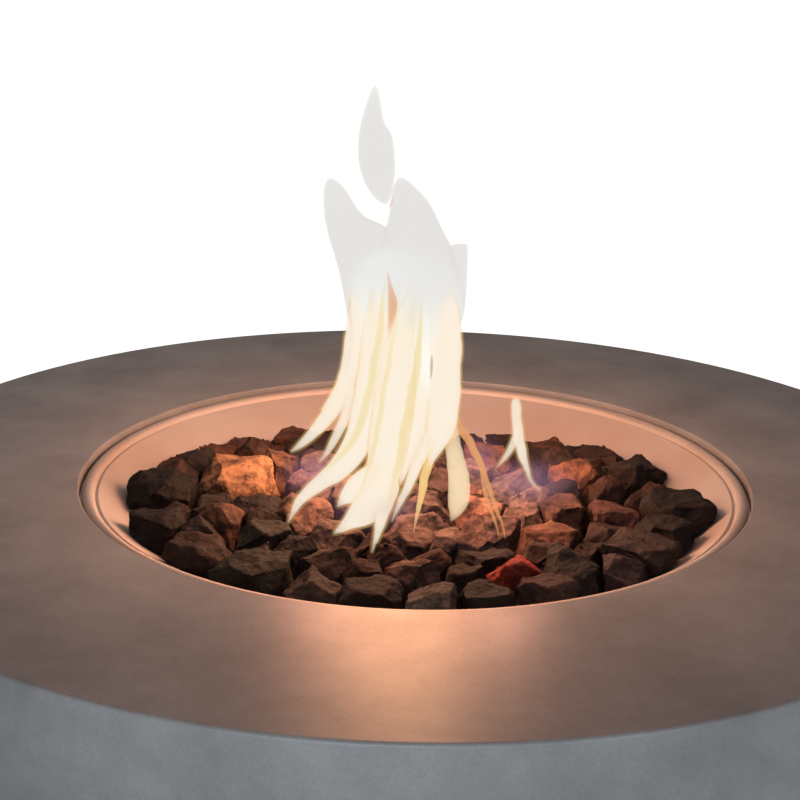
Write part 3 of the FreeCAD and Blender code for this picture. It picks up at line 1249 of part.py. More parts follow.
def directions(count, random_source):
    """Directions spread evenly over a sphere, turned and shaken a little."""
    turn = random_source.uniform(0, math.tau)
    golden = math.pi * (3 - math.sqrt(5))
    result = []
    for index in range(count):
        level = 1 - 2 * (index + 0.5) / count
        level = max(-1, min(1, level + random_source.uniform(-STONE_JITTER, STONE_JITTER)))
        ring = math.sqrt(1 - level * level)
        angle = turn + golden * index + random_source.uniform(-STONE_TWIST, STONE_TWIST)
        result.append(FreeCAD.Vector(ring * math.cos(angle), ring * math.sin(angle), level))
    return result


def rough_stone(centre, radius, half_height, random_source):
    """Irregular convex stone as flat faces."""
    reach = 1.4 * max(radius, half_height)
    low = centre - FreeCAD.Vector(reach, reach, reach)
    box = Part.makeBox(2 * reach, 2 * reach, 2 * reach, low)
    faces = []
    for side in box.Faces:
        corners = [vertex.Point for vertex in side.OuterWire.OrderedVertexes]
        middle = sum(corners, FreeCAD.Vector()) * (1 / len(corners))
        around = (corners[1] - corners[0]).cross(corners[2] - corners[1])
        faces.append(corners if around.dot(middle - centre) > 0 else corners[::-1])
    squash = random_source.uniform(*STONE_SQUASH)
    heading = random_source.uniform(0, math.pi)
    for normal in directions(STONE_FACES, random_source):
        along = normal.x * math.cos(heading) + normal.y * math.sin(heading)
        across = normal.y * math.cos(heading) - normal.x * math.sin(heading)
        reach = math.sqrt((radius * along) ** 2 + (radius * squash * across) ** 2
                          + (half_height * normal.z) ** 2)
        reach *= random_source.uniform(*STONE_CHIP)
        faces = clip(faces, centre + normal * reach, normal)
    return faces


def dish_level(radius):
    """Height of the pan's inner surface at a radius."""
    floor_radius = value("pan_floor_radius")
    if radius <= floor_radius:
        return value(PAN_FLOOR)
    return value(DISH_CENTRE) - math.sqrt(value(DISH) ** 2 - radius ** 2)


def clear_of_pan(faces, centre, radius, gap):
    """Trim a stone so that it stays inside the pan's dished wall and over its floor."""
    dish = value(DISH)
    heart = FreeCAD.Vector(0, 0, value(DISH_CENTRE))
    sideways = math.hypot(centre.x, centre.y)
    for shift in WALL_STEPS:
        distance = sideways + shift * radius
        if distance < value("pan_floor_radius") * 0.8:
            continue
        lean = math.asin(min(distance / dish, 0.95))
        for swing in WALL_SWINGS:
            heading = math.atan2(centre.y, centre.x) + swing * radius / max(sideways, radius)
            outward = FreeCAD.Vector(math.sin(lean) * math.cos(heading),
                                     math.sin(lean) * math.sin(heading), -math.cos(lean))
            sagitta = (radius * WALL_FACET) ** 2 / (2 * dish)
            faces = clip(faces, heart + outward * (dish - gap - sagitta), outward)
    floor = FreeCAD.Vector(0, 0, value(PAN_FLOOR) + gap)
    return clip(faces, floor, FreeCAD.Vector(0, 0, -1))


def clear_of_neighbours(faces, index, seeds, gap):
    """Trim a stone along the planes half way to the stones around it."""
    centre, radius, top = seeds[index]
    for other, (place_of_other, other_radius, other_top) in enumerate(seeds):
        away = place_of_other - centre
        distance = away.Length
        if other == index or distance > (radius + other_radius) * STONE_NEIGHBOURS:
            continue
        share = (distance ** 2 + radius ** 2 - other_radius ** 2) / (2 * distance)
        away.normalize()
        faces = clip(faces, centre + away * (share - gap / 2), away)
    return faces


def top_layer_seeds(random_source):
    """Plan positions, radii and lowness of the top layer: placed stones, then scattered ones."""
    small = value("stone_small")
    large = value("stone_large")
    reach = value("stone_reach")
    back = value("stone_back_reach")
    plan = [(x * reach, y * reach, share * large, low) for x, y, share, low in PLACED_STONES]
    for dart in range(STONE_DARTS):
        settled = dart / STONE_DARTS
        packing = STONE_PACKING[0] + (STONE_PACKING[1] - STONE_PACKING[0]) * settled
        size = random_source.uniform(small, large - (large - small) * settled)
        angle = random_source.uniform(0, math.tau)
        distance = reach * math.sqrt(random_source.uniform(0, 1))
        x = distance * math.cos(angle)
        y = distance * math.sin(angle)
        if y < back and all(
                math.hypot(x - other[0], y - other[1]) > packing * (size + other[2])
                for other in plan):
            plan.append((x, y, size, random_source.uniform(STONE_LOWEST_SHARE, 1)))
    return plan


def lava_rock():
    """Lower stones round the burner and the top layer, as separate solids."""
    random_source = random.Random(STONE_SEED)
    gap = value("loose_fit")
    burner_top = value(BURNER_TOP)
    up = FreeCAD.Vector(0, 0, 1)
    highest = value("bowl_height - stone_top")
    spread = value("stone_spread")
    seeds = []
    for x, y, radius, low in top_layer_seeds(random_source):
        sideways = math.hypot(x, y)
        behind = max(y - value("stone_back"), 0)
        bottom = burner_top if sideways - radius < value("ring_radius + ring_tube") else \
            dish_level(sideways)
        top = highest - low * spread - behind * value("stone_back_fall")
        top = max(top, bottom + radius * STONE_LEAST_STAND)
        height = (top + min(bottom, top - radius)) / 2
        seeds.append((FreeCAD.Vector(x, y, height), radius, top))
    sectors = {"centre": [], "front": [], "right": [], "back": [], "left": []}
    for index, (centre, radius, top) in enumerate(seeds):
        half_height = max(top - centre.z, radius * STONE_SHORTEST) * STONE_TALL
        swollen = radius * STONE_SWELL
        faces = rough_stone(centre, swollen, half_height, random_source)
        faces = clear_of_neighbours(faces, index, seeds, gap)
        faces = clear_of_pan(faces, centre, swollen, gap)
        faces = clip(faces, up * min(top + value("stone_crown"), highest), up)
        if math.hypot(centre.x, centre.y) - swollen < value("ring_radius + ring_tube"):
            faces = clip(faces, up * (burner_top + gap), up * -1)
        sectors[sector_of(centre)].append(stone_solid(faces))
    for name, stones in sectors.items():
        keep_stones("lava_rocks_" + name, stones)
    keep_stones("lava_rocks_lower", lower_stones(random_source, burner_top - gap, gap))


def sector_of(centre):
    """Name of the part of the bed that a stone belongs to."""
    if math.hypot(centre.x, centre.y) < value("centre_sector"):
        return "centre"
    angle = math.degrees(math.atan2(centre.y, centre.x))
    for name, middle in (("front", -90), ("right", 0), ("back", 90)):
        if abs(angle - middle) <= SECTOR_HALF_ANGLE:
            return name
    return "left"


def lower_stones(random_source, highest, gap):
    """Stones between the burner's rings and round its hub, clear of its tubes."""
    floor = value(PAN_FLOOR)
    ring_tube = value("ring_tube")
    between = (value("ring_radius") + value("inner_ring_radius")) / 2
    locknut = value("locknut_across") / math.sqrt(3)
    core = (value("inner_ring_radius") - ring_tube + locknut) / 2
    spots = [(core, angle, value("stone_core"), 0, value("inner_ring_radius"))
             for angle in (0, 90, 180, 270)]
    for quarter in (0, 90, 180, 270):
        steps = (-31, 31) if quarter == 270 else (-29, 0, 29)
        spots += [(between, quarter + step, value("stone_low"), value("inner_ring_radius"),
                   value("ring_radius")) for step in steps]
    stones = []
    for distance, angle, radius, inner, outer in spots:
        outward = FreeCAD.Vector(math.cos(math.radians(angle)), math.sin(math.radians(angle)), 0)
        centre = outward * distance + FreeCAD.Vector(0, 0, (floor + highest) / 2)
        swollen = radius * STONE_SWELL
        faces = rough_stone(centre, swollen, (highest - floor) * 0.6, random_source)
        limit = math.sqrt((outer - ring_tube - gap) ** 2 - swollen ** 2)
        faces = clip(faces, outward * limit, outward)
        if inner:
            faces = clip(faces, outward * (inner + ring_tube + gap), outward * -1)
        else:
            faces = clip(faces, outward * (locknut + gap), outward * -1)
        for cross in (45, 135, 225, 315):
            swing = math.radians((angle - cross + 180) % 360 - 180)
            if abs(swing) > math.pi / 2:
                continue
            sideways = FreeCAD.Vector(-math.sin(math.radians(cross)),
                                      math.cos(math.radians(cross)), 0)
            toward = sideways * (-1 if swing > 0 else 1)
            faces = clip(faces, toward * -(value("cross_tube") + gap), toward)
        if angle > 225 and inner:
            side = 1 if angle > 270 else -1
            faces = clip(faces, FreeCAD.Vector(side * (value("bracket_length") / 2 + gap), 0, 0),
                         FreeCAD.Vector(-side, 0, 0))
        faces = clear_of_pan(faces, centre, swollen, gap)
        faces = clip(faces, FreeCAD.Vector(0, 0, highest), FreeCAD.Vector(0, 0, 1))
        stones.append(stone_solid(faces))
    return stones


def keep_stones(label, stones):
    """One node of separate stones."""
    item = DOC.addObject("Part::Feature", label)
    item.Shape = Part.makeCompound(stones)
    item.Placement = FreeCAD.Placement()
    print(label, len(stones), "stones")
    keep(label, item)


concrete_bowl()
feet()
flange_gasket()
fire_pan()
burner()
gas_train()
control_panel()
gas_valve()
igniter()
pilot()
gas_pipes()
lava_rock()
DOC.recompute()

for item in DOC.Objects:
    if "Invalid" in item.State or "Error" in item.State:
        raise RuntimeError(f"{item.Label} failed: {item.State}")
os.makedirs("parts", exist_ok=True)
for label, item in NODES.items():
    shape = item.Shape
    if shape.isNull() or not shape.isValid():
        raise RuntimeError(f"{label} has no valid shape")
    shape.exportStep(f"parts/{label}.step")
print(len(NODES), "nodes written")
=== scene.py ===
"""Looks of a round concrete fire pit table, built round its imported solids.

The concrete bowl, the steel fire pan, the lava stones, the burner and the gas
controls are dressed here. The burning gas, the floor and the lamps are stage.
Lengths are metres unless a name ends in _mm.
"""

import json
import logging
import math
import random
from dataclasses import dataclass, field
from enum import Enum
from typing import ClassVar

import bpy
from mathutils import Matrix, Vector

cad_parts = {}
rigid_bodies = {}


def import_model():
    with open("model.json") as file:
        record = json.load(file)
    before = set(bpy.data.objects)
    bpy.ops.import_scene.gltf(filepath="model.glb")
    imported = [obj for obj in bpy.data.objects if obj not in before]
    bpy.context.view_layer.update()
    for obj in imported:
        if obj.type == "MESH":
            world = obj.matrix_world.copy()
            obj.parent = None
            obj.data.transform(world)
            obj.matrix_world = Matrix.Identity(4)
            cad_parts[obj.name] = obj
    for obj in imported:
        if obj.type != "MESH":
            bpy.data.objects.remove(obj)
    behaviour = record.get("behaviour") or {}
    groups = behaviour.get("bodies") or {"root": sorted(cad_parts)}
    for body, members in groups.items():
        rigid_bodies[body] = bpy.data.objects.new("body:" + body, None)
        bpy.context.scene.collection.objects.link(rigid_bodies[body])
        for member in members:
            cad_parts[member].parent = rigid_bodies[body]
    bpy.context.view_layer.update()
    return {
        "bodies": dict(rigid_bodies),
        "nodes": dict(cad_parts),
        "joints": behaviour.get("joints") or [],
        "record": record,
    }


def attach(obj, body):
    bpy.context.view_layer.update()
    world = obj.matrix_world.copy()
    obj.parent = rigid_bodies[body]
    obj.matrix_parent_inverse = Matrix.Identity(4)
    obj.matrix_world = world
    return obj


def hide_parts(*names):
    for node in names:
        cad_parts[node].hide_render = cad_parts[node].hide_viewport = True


LOG = logging.getLogger("fire_table")
MM = 0.001
# Corners of a solid's loose triangles that lie closer than this are one corner.
WELD = 0.002 * MM
# The sRGB curve: a straight toe up to the knee, then a power.
SRGB_KNEE, SRGB_TOE, SRGB_SHIFT, SRGB_POWER = 0.04045, 12.92, 0.055, 2.4
# Most values of a noise pattern lie between these two.
NOISE_LOW, NOISE_HIGH = 0.3, 0.7

Pair = tuple[float, float]
Triple = tuple[float, float, float]
Quad = tuple[float, float, float, float]
Value = float | tuple[float, ...] | bpy.types.NodeSocket


class Body(Enum):
    """Bodies of the table that its pieces ride on."""

    TABLE = "table"
    PLUG = "turning_plug"
    KNOB = "knob_and_stem"
    BUTTON = "igniter_push_button"
    SHUTTER = "shutter"


class Slot(Enum):
    """Material slots of the record."""

    CONCRETE = "concrete"
    FOOT_RUBBER = "foot_rubber"
    ZINC_STEEL = "zinc_steel"
    GASKET_FIBRE = "gasket_fibre"
    STAINLESS_STEEL = "stainless_steel"
    LAVA_ROCK = "lava_rock"
    CAST_MIXER = "cast_mixer"
    BRASS = "brass"
    ALUMINIUM = "aluminium"
    BLACK_PLASTIC = "black_plastic"
    ELECTRODE_CERAMIC = "electrode_ceramic"
    COPPER_LEAD = "copper_lead"
    LEAD_SLEEVE = "lead_sleeve"


# ---- small tools ---------------------------------------------------------------------


def linear(hex_colour: str) -> Quad:
    """Turn an sRGB hex colour into linear values.

    Args:
        hex_colour: six hex digits after a #.

    Returns:
        Red, green, blue and an alpha of 1.
    """
    channels = [int(hex_colour[index:index + 2], 16) / 255 for index in (1, 3, 5)]
    straight = [
        channel / SRGB_TOE
        if channel <= SRGB_KNEE
        else ((channel + SRGB_SHIFT) / (1 + SRGB_SHIFT)) ** SRGB_POWER
        for channel in channels
    ]
    return (*straight, 1.0)


def deselect_all() -> None:
    """Leave nothing selected and no object in edit mode."""
    if bpy.context.object and bpy.context.object.mode != "OBJECT":
        bpy.ops.object.mode_set(mode="OBJECT")
    bpy.ops.object.select_all(action="DESELECT")


def pick(obj: bpy.types.Object) -> None:
    """Select one object alone and make it active.

    Args:
        obj: the object.
    """
    deselect_all()
    obj.select_set(True)
    bpy.context.view_layer.objects.active = obj


def apply_modifier(obj: bpy.types.Object, kind: str, **settings: object) -> None:
    """Add a modifier, set it and apply it.

    Args:
        obj: the object to change.
        kind: the modifier's type.
        settings: its properties.
    """
    modifier = obj.modifiers.new(kind.lower(), kind)
    for name, setting in settings.items():
        setattr(modifier, name, setting)
    pick(obj)
    bpy.ops.object.modifier_apply(modifier=modifier.name)


def add_node(
    material: bpy.types.ID,
    kind: str,
    sockets: dict[str | int, Value] | None = None,
    **settings: object,
) -> bpy.types.Node:
    """Add a shader node with its settings and its links.

    Args:
        material: the material, lamp or world whose tree gets the node.
        kind: the node's type.
        sockets: input name or number to a value or to another node's output.
        settings: the node's own properties.

    Returns:
        The new node.
    """
    tree = material.node_tree
    node = tree.nodes.new(kind)
    for name, setting in settings.items():
        setattr(node, name, setting)
    for socket, source in (sockets or {}).items():
        if isinstance(source, bpy.types.NodeSocket):
            tree.links.new(source, node.inputs[socket])
        else:
            node.inputs[socket].default_value = source
    return node


def new_material(name: str) -> bpy.types.Material:
    """Make a material whose tree is empty.

    Args:
        name: its name, after the real material.

    Returns:
        The material.
    """
    material = bpy.data.materials.new(name)
    material.use_nodes = True
    material.node_tree.nodes.clear()
    return material


def set_ramp(ramp: bpy.types.Node, stops: list[tuple[float, str]]) -> None:
    """Give a colour ramp its stops.

    Args:
        ramp: the colour ramp node.
        stops: position and hex colour of each stop, in order.
    """
    elements = ramp.color_ramp.elements
    while len(elements) < len(stops):
        elements.new(1.0)
    for element, (position, colour) in zip(elements, stops):
        element.position = position
        element.color = linear(colour)


def finish_surface(
    material: bpy.types.Material, shader: bpy.types.Node, socket: str = "Surface"
) -> bpy.types.Material:
    """Link a shader to the material's output and return the material."""
    add_node(material, "ShaderNodeOutputMaterial", {socket: shader.outputs[0]})
    return material


def material_of(finish: "Finish | GasFinish") -> bpy.types.Material:
    """Give a finish's material, built the first time and shared after that."""
    return bpy.data.materials.get(finish.name) or finish.material()


# ---- finishes ------------------------------------------------------------------------


@dataclass(frozen=True)
class PlainFinish:
    """One material, such as a metal, a plastic or a rubber, worn a little unevenly.

    Handling and weather leave cloudy patches that are duller and darker than the rest.
    """

    name: str
    colour: str
    roughness: float
    metallic: float = 0.0
    ior: float = 1.5
    patch_mm: float = 9.0
    unevenness: float = 0.14
    grain_mm: float = 0.6
    grain_depth: float = 0.06

    def material(self) -> bpy.types.Material:
        """Build the material: cloudy patches over a fine grain.

        Returns:
            The material.
        """
        material = new_material(self.name)
        place = add_node(material, "ShaderNodeTexCoord")
        patches = add_node(material, "ShaderNodeTexNoise", {
            "Vector": place.outputs["Object"],
            "Scale": 1 / (self.patch_mm * MM),
            "Detail": 4.0,
        })
        tone = add_node(material, "ShaderNodeMapRange", {
            "Value": patches.outputs[0],
            "From Min": NOISE_LOW,
            "From Max": NOISE_HIGH,
            "To Min": 1 - self.unevenness,
            "To Max": 1 + self.unevenness / 2,
        })
        colour = add_node(material, "ShaderNodeMix", {
            "Factor": 1.0,
            6: linear(self.colour),
            7: tone.outputs[0],
        }, data_type="RGBA", blend_type="MULTIPLY")
        dullness = add_node(material, "ShaderNodeMapRange", {
            "Value": patches.outputs[0],
            "From Min": NOISE_LOW,
            "From Max": NOISE_HIGH,
            "To Min": self.roughness * (1 + self.unevenness),
            "To Max": self.roughness * (1 - self.unevenness),
        })
        grain = add_node(material, "ShaderNodeTexNoise", {
            "Vector": place.outputs["Object"],
            "Scale": 1 / (self.grain_mm * MM),
            "Detail": 3.0,
        })
        bump = add_node(material, "ShaderNodeBump", {
            "Height": grain.outputs[0],
            "Strength": self.grain_depth,
            "Distance": self.grain_mm * MM,
        })
        sockets = {
            "Base Color": colour.outputs[2],
            "Roughness": dullness.outputs[0],
            "Metallic": self.metallic,
            "Normal": bump.outputs[0],
        }
        if not self.metallic:
            sockets["IOR"] = self.ior
        return finish_surface(
            material, add_node(material, "ShaderNodeBsdfPrincipled", sockets))


@dataclass(frozen=True)
class CastConcrete:
    """Glass-fibre reinforced concrete, cast in a smooth mould and sealed.

    The sealer gives a soft sheen that mirrors the flame as a broad streak. The paste
    clouds slowly over a hand's width, and fine sand and small air holes show close by.
    """

    name: str = "cast_glass_fibre_concrete"
    light: str = "#83817f"
    middle: str = "#797775"
    dark: str = "#6e6c6a"
    cloud_mm: float = 90.0
    sand_mm: float = 2.2
    pore_mm: float = 16.0
    # An air hole is as wide as this share of the way to the next one.
    pore_share: float = 0.07
    relief_mm: float = 0.25
    paste_levels: Triple = (0.32, 0.5, 0.68)
    sand_levels: Pair = (0.35, 0.65)
    sand_tone: Pair = (0.9, 1.06)
    sheen: Pair = (1.12, 0.9)
    roughness: float = 0.36
    ior: float = 1.5
    mirror_share: float = 0.3

    def material(self) -> bpy.types.Material:
        """Build the material.

        Returns:
            The material.
        """
        material = new_material(self.name)
        place = add_node(material, "ShaderNodeTexCoord")
        clouds = add_node(material, "ShaderNodeTexNoise", {
            "Vector": place.outputs["Object"],
            "Scale": 1 / (self.cloud_mm * MM),
            "Detail": 5.0,
            "Roughness": 0.62,
        })
        paste = add_node(material, "ShaderNodeValToRGB", {"Fac": clouds.outputs[0]})
        set_ramp(
            paste, list(zip(self.paste_levels, (self.dark, self.middle, self.light))))
        sand = add_node(material, "ShaderNodeTexNoise", {
            "Vector": place.outputs["Object"],
            "Scale": 1 / (self.sand_mm * MM),
            "Detail": 4.0,
            "Roughness": 0.7,
        })
        speck = add_node(material, "ShaderNodeMapRange", {
            "Value": sand.outputs[0],
            "From Min": self.sand_levels[0],
            "From Max": self.sand_levels[1],
            "To Min": self.sand_tone[0],
            "To Max": self.sand_tone[1],
        })
        colour = add_node(material, "ShaderNodeMix", {
            "Factor": 1.0,
            6: paste.outputs[0],
            7: speck.outputs[0],
        }, data_type="RGBA", blend_type="MULTIPLY")
        pores = add_node(material, "ShaderNodeTexVoronoi", {
            "Vector": place.outputs["Object"],
            "Scale": 1 / (self.pore_mm * MM),
            "Randomness": 1.0,
        })
        hole = add_node(material, "ShaderNodeMapRange", {
            "Value": pores.outputs["Distance"],
            "From Max": self.pore_share,
        })
        height = add_node(material, "ShaderNodeMath", {
            0: hole.outputs[0],
            1: sand.outputs[0],
        }, operation="MULTIPLY")
        sheen = add_node(material, "ShaderNodeMapRange", {
            "Value": clouds.outputs[0],
            "From Min": NOISE_LOW,
            "From Max": NOISE_HIGH,
            "To Min": self.roughness * self.sheen[0],
            "To Max": self.roughness * self.sheen[1],
        })
        bump = add_node(material, "ShaderNodeBump", {
            "Height": height.outputs[0],
            "Strength": 0.25,
            "Distance": self.relief_mm * MM,
        })
        return finish_surface(material, add_node(material, "ShaderNodeBsdfPrincipled", {
            "Base Color": colour.outputs[2],
            "Roughness": sheen.outputs[0],
            "IOR": self.ior,
            "Specular IOR Level": self.mirror_share,
            "Normal": bump.outputs[0],
        }))


@dataclass(frozen=True)
class HeatTintedSteel:
    """Spun stainless steel that the fire has tinted to a warm straw and salmon.

    Spinning leaves fine rings round the axis, which stretch reflections sideways.
    """

    name: str = "spun_heat_tinted_stainless_steel"
    straw: str = "#bdb5ae"
    salmon: str = "#b5a59b"
    tint_mm: float = 140.0
    tint_levels: Pair = (0.35, 0.65)
    ring_mm: float = 1.4
    ring_depth_mm: float = 0.1
    roughness: float = 0.7

    def material(self) -> bpy.types.Material:
        """Build the material.

        Returns:
            The material.
        """
        material = new_material(self.name)
        place = add_node(material, "ShaderNodeTexCoord")
        patches = add_node(material, "ShaderNodeTexNoise", {
            "Vector": place.outputs["Object"],
            "Scale": 1 / (self.tint_mm * MM),
            "Detail": 3.0,
        })
        tint = add_node(material, "ShaderNodeValToRGB", {"Fac": patches.outputs[0]})
        set_ramp(tint, list(zip(self.tint_levels, (self.salmon, self.straw))))
        parts = add_node(material, "ShaderNodeSeparateXYZ", {
            "Vector": place.outputs["Object"]})
        level = add_node(material, "ShaderNodeCombineXYZ", {"Z": parts.outputs["Z"]})
        rings = add_node(material, "ShaderNodeTexNoise", {
            "Vector": level.outputs[0],
            "Scale": 1 / (self.ring_mm * MM),
            "Detail": 2.0,
        })
        bump = add_node(material, "ShaderNodeBump", {
            "Height": rings.outputs[0],
            "Strength": 0.1,
            "Distance": self.ring_depth_mm * MM,
        })
        return finish_surface(material, add_node(material, "ShaderNodeBsdfPrincipled", {
            "Base Color": tint.outputs[0],
            "Metallic": 1.0,
            "Roughness": self.roughness,
            "Normal": bump.outputs[0],
        }))


@dataclass(frozen=True)
class BrushedSteel:
    """Stainless sheet brushed along its length: fine level lines that blur mirrors."""

    name: str = "brushed_stainless_sheet"
    colour: str = "#c2bfba"
    line_mm: float = 0.5
    line_depth_mm: float = 0.05
    stretch: float = 60.0
    roughness: float = 0.32

    def material(self) -> bpy.types.Material:
        """Build the material; the lines are drawn as coarse as a close view needs.

        Returns:
            The material.
        """
        material = new_material(self.name)
        place = add_node(material, "ShaderNodeTexCoord")
        along = add_node(material, "ShaderNodeMapping", {
            "Vector": place.outputs["Object"],
            "Scale": (1 / self.stretch, 1.0, 1.0),
        })
        lines = add_node(material, "ShaderNodeTexNoise", {
            "Vector": along.outputs[0],
            "Scale": 1 / (self.line_mm * MM),
            "Detail": 2.0,
        })
        bump = add_node(material, "ShaderNodeBump", {
            "Height": lines.outputs[0],
            "Strength": 0.15,
            "Distance": self.line_depth_mm * MM,
        })
        return finish_surface(material, add_node(material, "ShaderNodeBsdfPrincipled", {
            "Base Color": linear(self.colour),
            "Metallic": 1.0,
            "Roughness": self.roughness,
            "Normal": bump.outputs[0],
        }))


@dataclass(frozen=True)
class LavaStone:
    """Broken scoria: dark glassy basalt, rusted where its iron has turned.

    Each stone carries its own tint as an attribute; blotches, grit and fine holes
    come from patterns on top of it.
    """

    name: str = "broken_scoria"
    tint_attribute: str = "stone_tint"
    shadow: str = "#1b1715"
    blotch_mm: float = 14.0
    blotch_levels: Pair = (0.42, 0.64)
    blotch_cover: Pair = (0.1, 0.85)
    grit_mm: float = 1.3
    hole_mm: float = 4.5
    relief_mm: float = 1.2
    roughness: float = 0.78
    ior: float = 1.55
    mirror_share: float = 0.12

    def material(self) -> bpy.types.Material:
        """Build the material.

        Returns:
            The material.
        """
        material = new_material(self.name)
        place = add_node(material, "ShaderNodeTexCoord")
        tint = add_node(
            material, "ShaderNodeAttribute", attribute_name=self.tint_attribute)
        blotch = add_node(material, "ShaderNodeTexNoise", {
            "Vector": place.outputs["Object"],
            "Scale": 1 / (self.blotch_mm * MM),
            "Detail": 6.0,
            "Roughness": 0.65,
        })
        cover = add_node(material, "ShaderNodeMapRange", {
            "Value": blotch.outputs[0],
            "From Min": self.blotch_levels[0],
            "From Max": self.blotch_levels[1],
            "To Min": self.blotch_cover[0],
            "To Max": self.blotch_cover[1],
        })
        colour = add_node(material, "ShaderNodeMix", {
            "Factor": cover.outputs[0],
            6: tint.outputs["Color"],
            7: linear(self.shadow),
        }, data_type="RGBA")
        grit = add_node(material, "ShaderNodeTexNoise", {
            "Vector": place.outputs["Object"],
            "Scale": 1 / (self.grit_mm * MM),
            "Detail": 4.0,
            "Roughness": 0.7,
        })
        holes = add_node(material, "ShaderNodeTexVoronoi", {
            "Vector": place.outputs["Object"],
            "Scale": 1 / (self.hole_mm * MM),
        })
        height = add_node(material, "ShaderNodeMath", {
            0: holes.outputs["Distance"],
            1: grit.outputs[0],
        }, operation="ADD")
        bump = add_node(material, "ShaderNodeBump", {
            "Height": height.outputs[0],
            "Strength": 0.8,
            "Distance": self.relief_mm * MM,
        })
        return finish_surface(material, add_node(material, "ShaderNodeBsdfPrincipled", {
            "Base Color": colour.outputs[2],
            "Roughness": self.roughness,
            "IOR": self.ior,
            "Specular IOR Level": self.mirror_share,
            "Normal": bump.outputs[0],
        }))


Finish = PlainFinish | CastConcrete | HeatTintedSteel | BrushedSteel | LavaStone

# Zinc plating: a cool grey metal with a soft shine.
ZINC = PlainFinish("zinc_plated_steel", "#a9a9a4", 0.38, metallic=1.0)
# Machined brass: warm yellow and fairly bright.
BRASS = PlainFinish("machined_brass", "#c9a45c", 0.30, metallic=1.0)
# Drawn or die-cast aluminium, left plain: pale and slightly dull.
ALUMINIUM = PlainFinish("plain_aluminium", "#bfc0c2", 0.34, metallic=1.0)
# Bare copper, browned by handling.
COPPER = PlainFinish("bare_copper", "#c07d58", 0.34, metallic=1.0)
# Cast iron under grey paint: the sand mould's grain shows through.
CAST_IRON = PlainFinish("painted_cast_iron", "#4b4c4f", 0.55, grain_depth=0.3)
# Moulded nylon with glass fibres: near black with a low sheen.
NYLON = PlainFinish("moulded_glass_filled_nylon", "#1c1c1d", 0.48, grain_depth=0.12)
# Moulded rubber: black and matte.
RUBBER = PlainFinish("moulded_rubber", "#191919", 0.72, grain_depth=0.1)
# Pressed ceramic fibre board: chalky, with a felted surface.
FIBRE = PlainFinish("pressed_ceramic_fibre", "#c9c4b8", 0.9, grain_depth=0.4)
# Alumina fired without glaze: warm white.
ALUMINA = PlainFinish("unglazed_alumina_ceramic", "#ebe8df", 0.5)
# Silicone rubber sleeve: brick red, slightly waxy.
SILICONE = PlainFinish("silicone_rubber_sleeve", "#a3271d", 0.55)
# White enamel paint run into a moulded groove.
PAINT = PlainFinish("white_pointer_paint", "#e4e3de", 0.5)
# The same brushed sheet with a satin finish, so the panel doesn't glare.
SATIN_PANEL = BrushedSteel("satin_brushed_panel", "#9b9893", roughness=0.58)


# ---- pieces that keep the shape of their solid ---------------------------------------


def own_copy(frame: dict, node: str, name: str) -> bpy.types.Object:
    """Copy a CAD node's mesh to a new object and merge its loose triangles.

    Args:
        node: the CAD node's name.
        name: name of the new piece.

    Returns:
        The new object, which rides on nothing yet.
    """
    source = frame["nodes"][node]
    piece = source.copy()
    piece.data = source.data.copy()
    piece.name = name
    bpy.context.collection.objects.link(piece)
    piece.parent = None
    piece.matrix_world = Matrix.Identity(4)
    piece.data.materials.clear()
    pick(piece)
    if piece.data.has_custom_normals:
        bpy.ops.mesh.customdata_custom_splitnormals_clear()
    bpy.ops.object.mode_set(mode="EDIT")
    bpy.ops.mesh.select_all(action="SELECT")
    bpy.ops.mesh.remove_doubles(threshold=WELD)
    bpy.ops.object.mode_set(mode="OBJECT")
    return piece


def hand_over(
    piece: bpy.types.Object,
    body: Body,
    slot: Slot,
    material: bpy.types.Material,
    *nodes: str,
) -> bpy.types.Object:
    """Give a finished piece its material and its body, and hide the nodes that it
    stands for.

    Args:
        piece: the finished object.
        body: the body that it rides on.
        slot: its material slot; not used.
        material: its look.
        nodes: CAD nodes that it replaces.

    Returns:
        The piece.
    """
    piece.data.materials.clear()
    piece.data.materials.append(material)
    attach(piece, body.value)
    if nodes:
        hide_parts(*nodes)
    LOG.info("%s on %s: %d faces", piece.name, body.value, len(piece.data.polygons))
    return piece


@dataclass(frozen=True)
class Dressing:
    """Solids that share a body, a slot and a finish."""

    body: Body
    slot: Slot
    finish: Finish
    nodes: tuple[str, ...]


@dataclass
class SubAssembly:
    """Pieces whose solid already has the real shape: smooth shading and a finish."""

    # Edges sharper than this stay sharp.
    crease: float = math.radians(28)

    DRESSINGS: ClassVar[tuple[Dressing, ...]] = ()

    def build(self, frame: dict) -> list[bpy.types.Object]:
        """Make the smooth-shaded piece of every node.


        Returns:
            The new pieces.
        """
        pieces = []
        for dressing in self.DRESSINGS:
            material = material_of(dressing.finish)
            for node in dressing.nodes:
                piece = own_copy(frame, node, node + "_piece")
                pick(piece)
                bpy.ops.object.shade_smooth_by_angle(angle=self.crease)
                pieces.append(
                    hand_over(piece, dressing.body, dressing.slot, material, node))
        return pieces


class BowlAndFeet(SubAssembly):
    """Cast bowl on its four rubber feet."""

    DRESSINGS = (
        Dressing(Body.TABLE, Slot.CONCRETE, CastConcrete(), ("concrete_bowl",)),
        Dressing(Body.TABLE, Slot.FOOT_RUBBER, RUBBER, ("rubber_feet",)),
        Dressing(Body.TABLE, Slot.ZINC_STEEL, ZINC, ("foot_screws",)),
    )


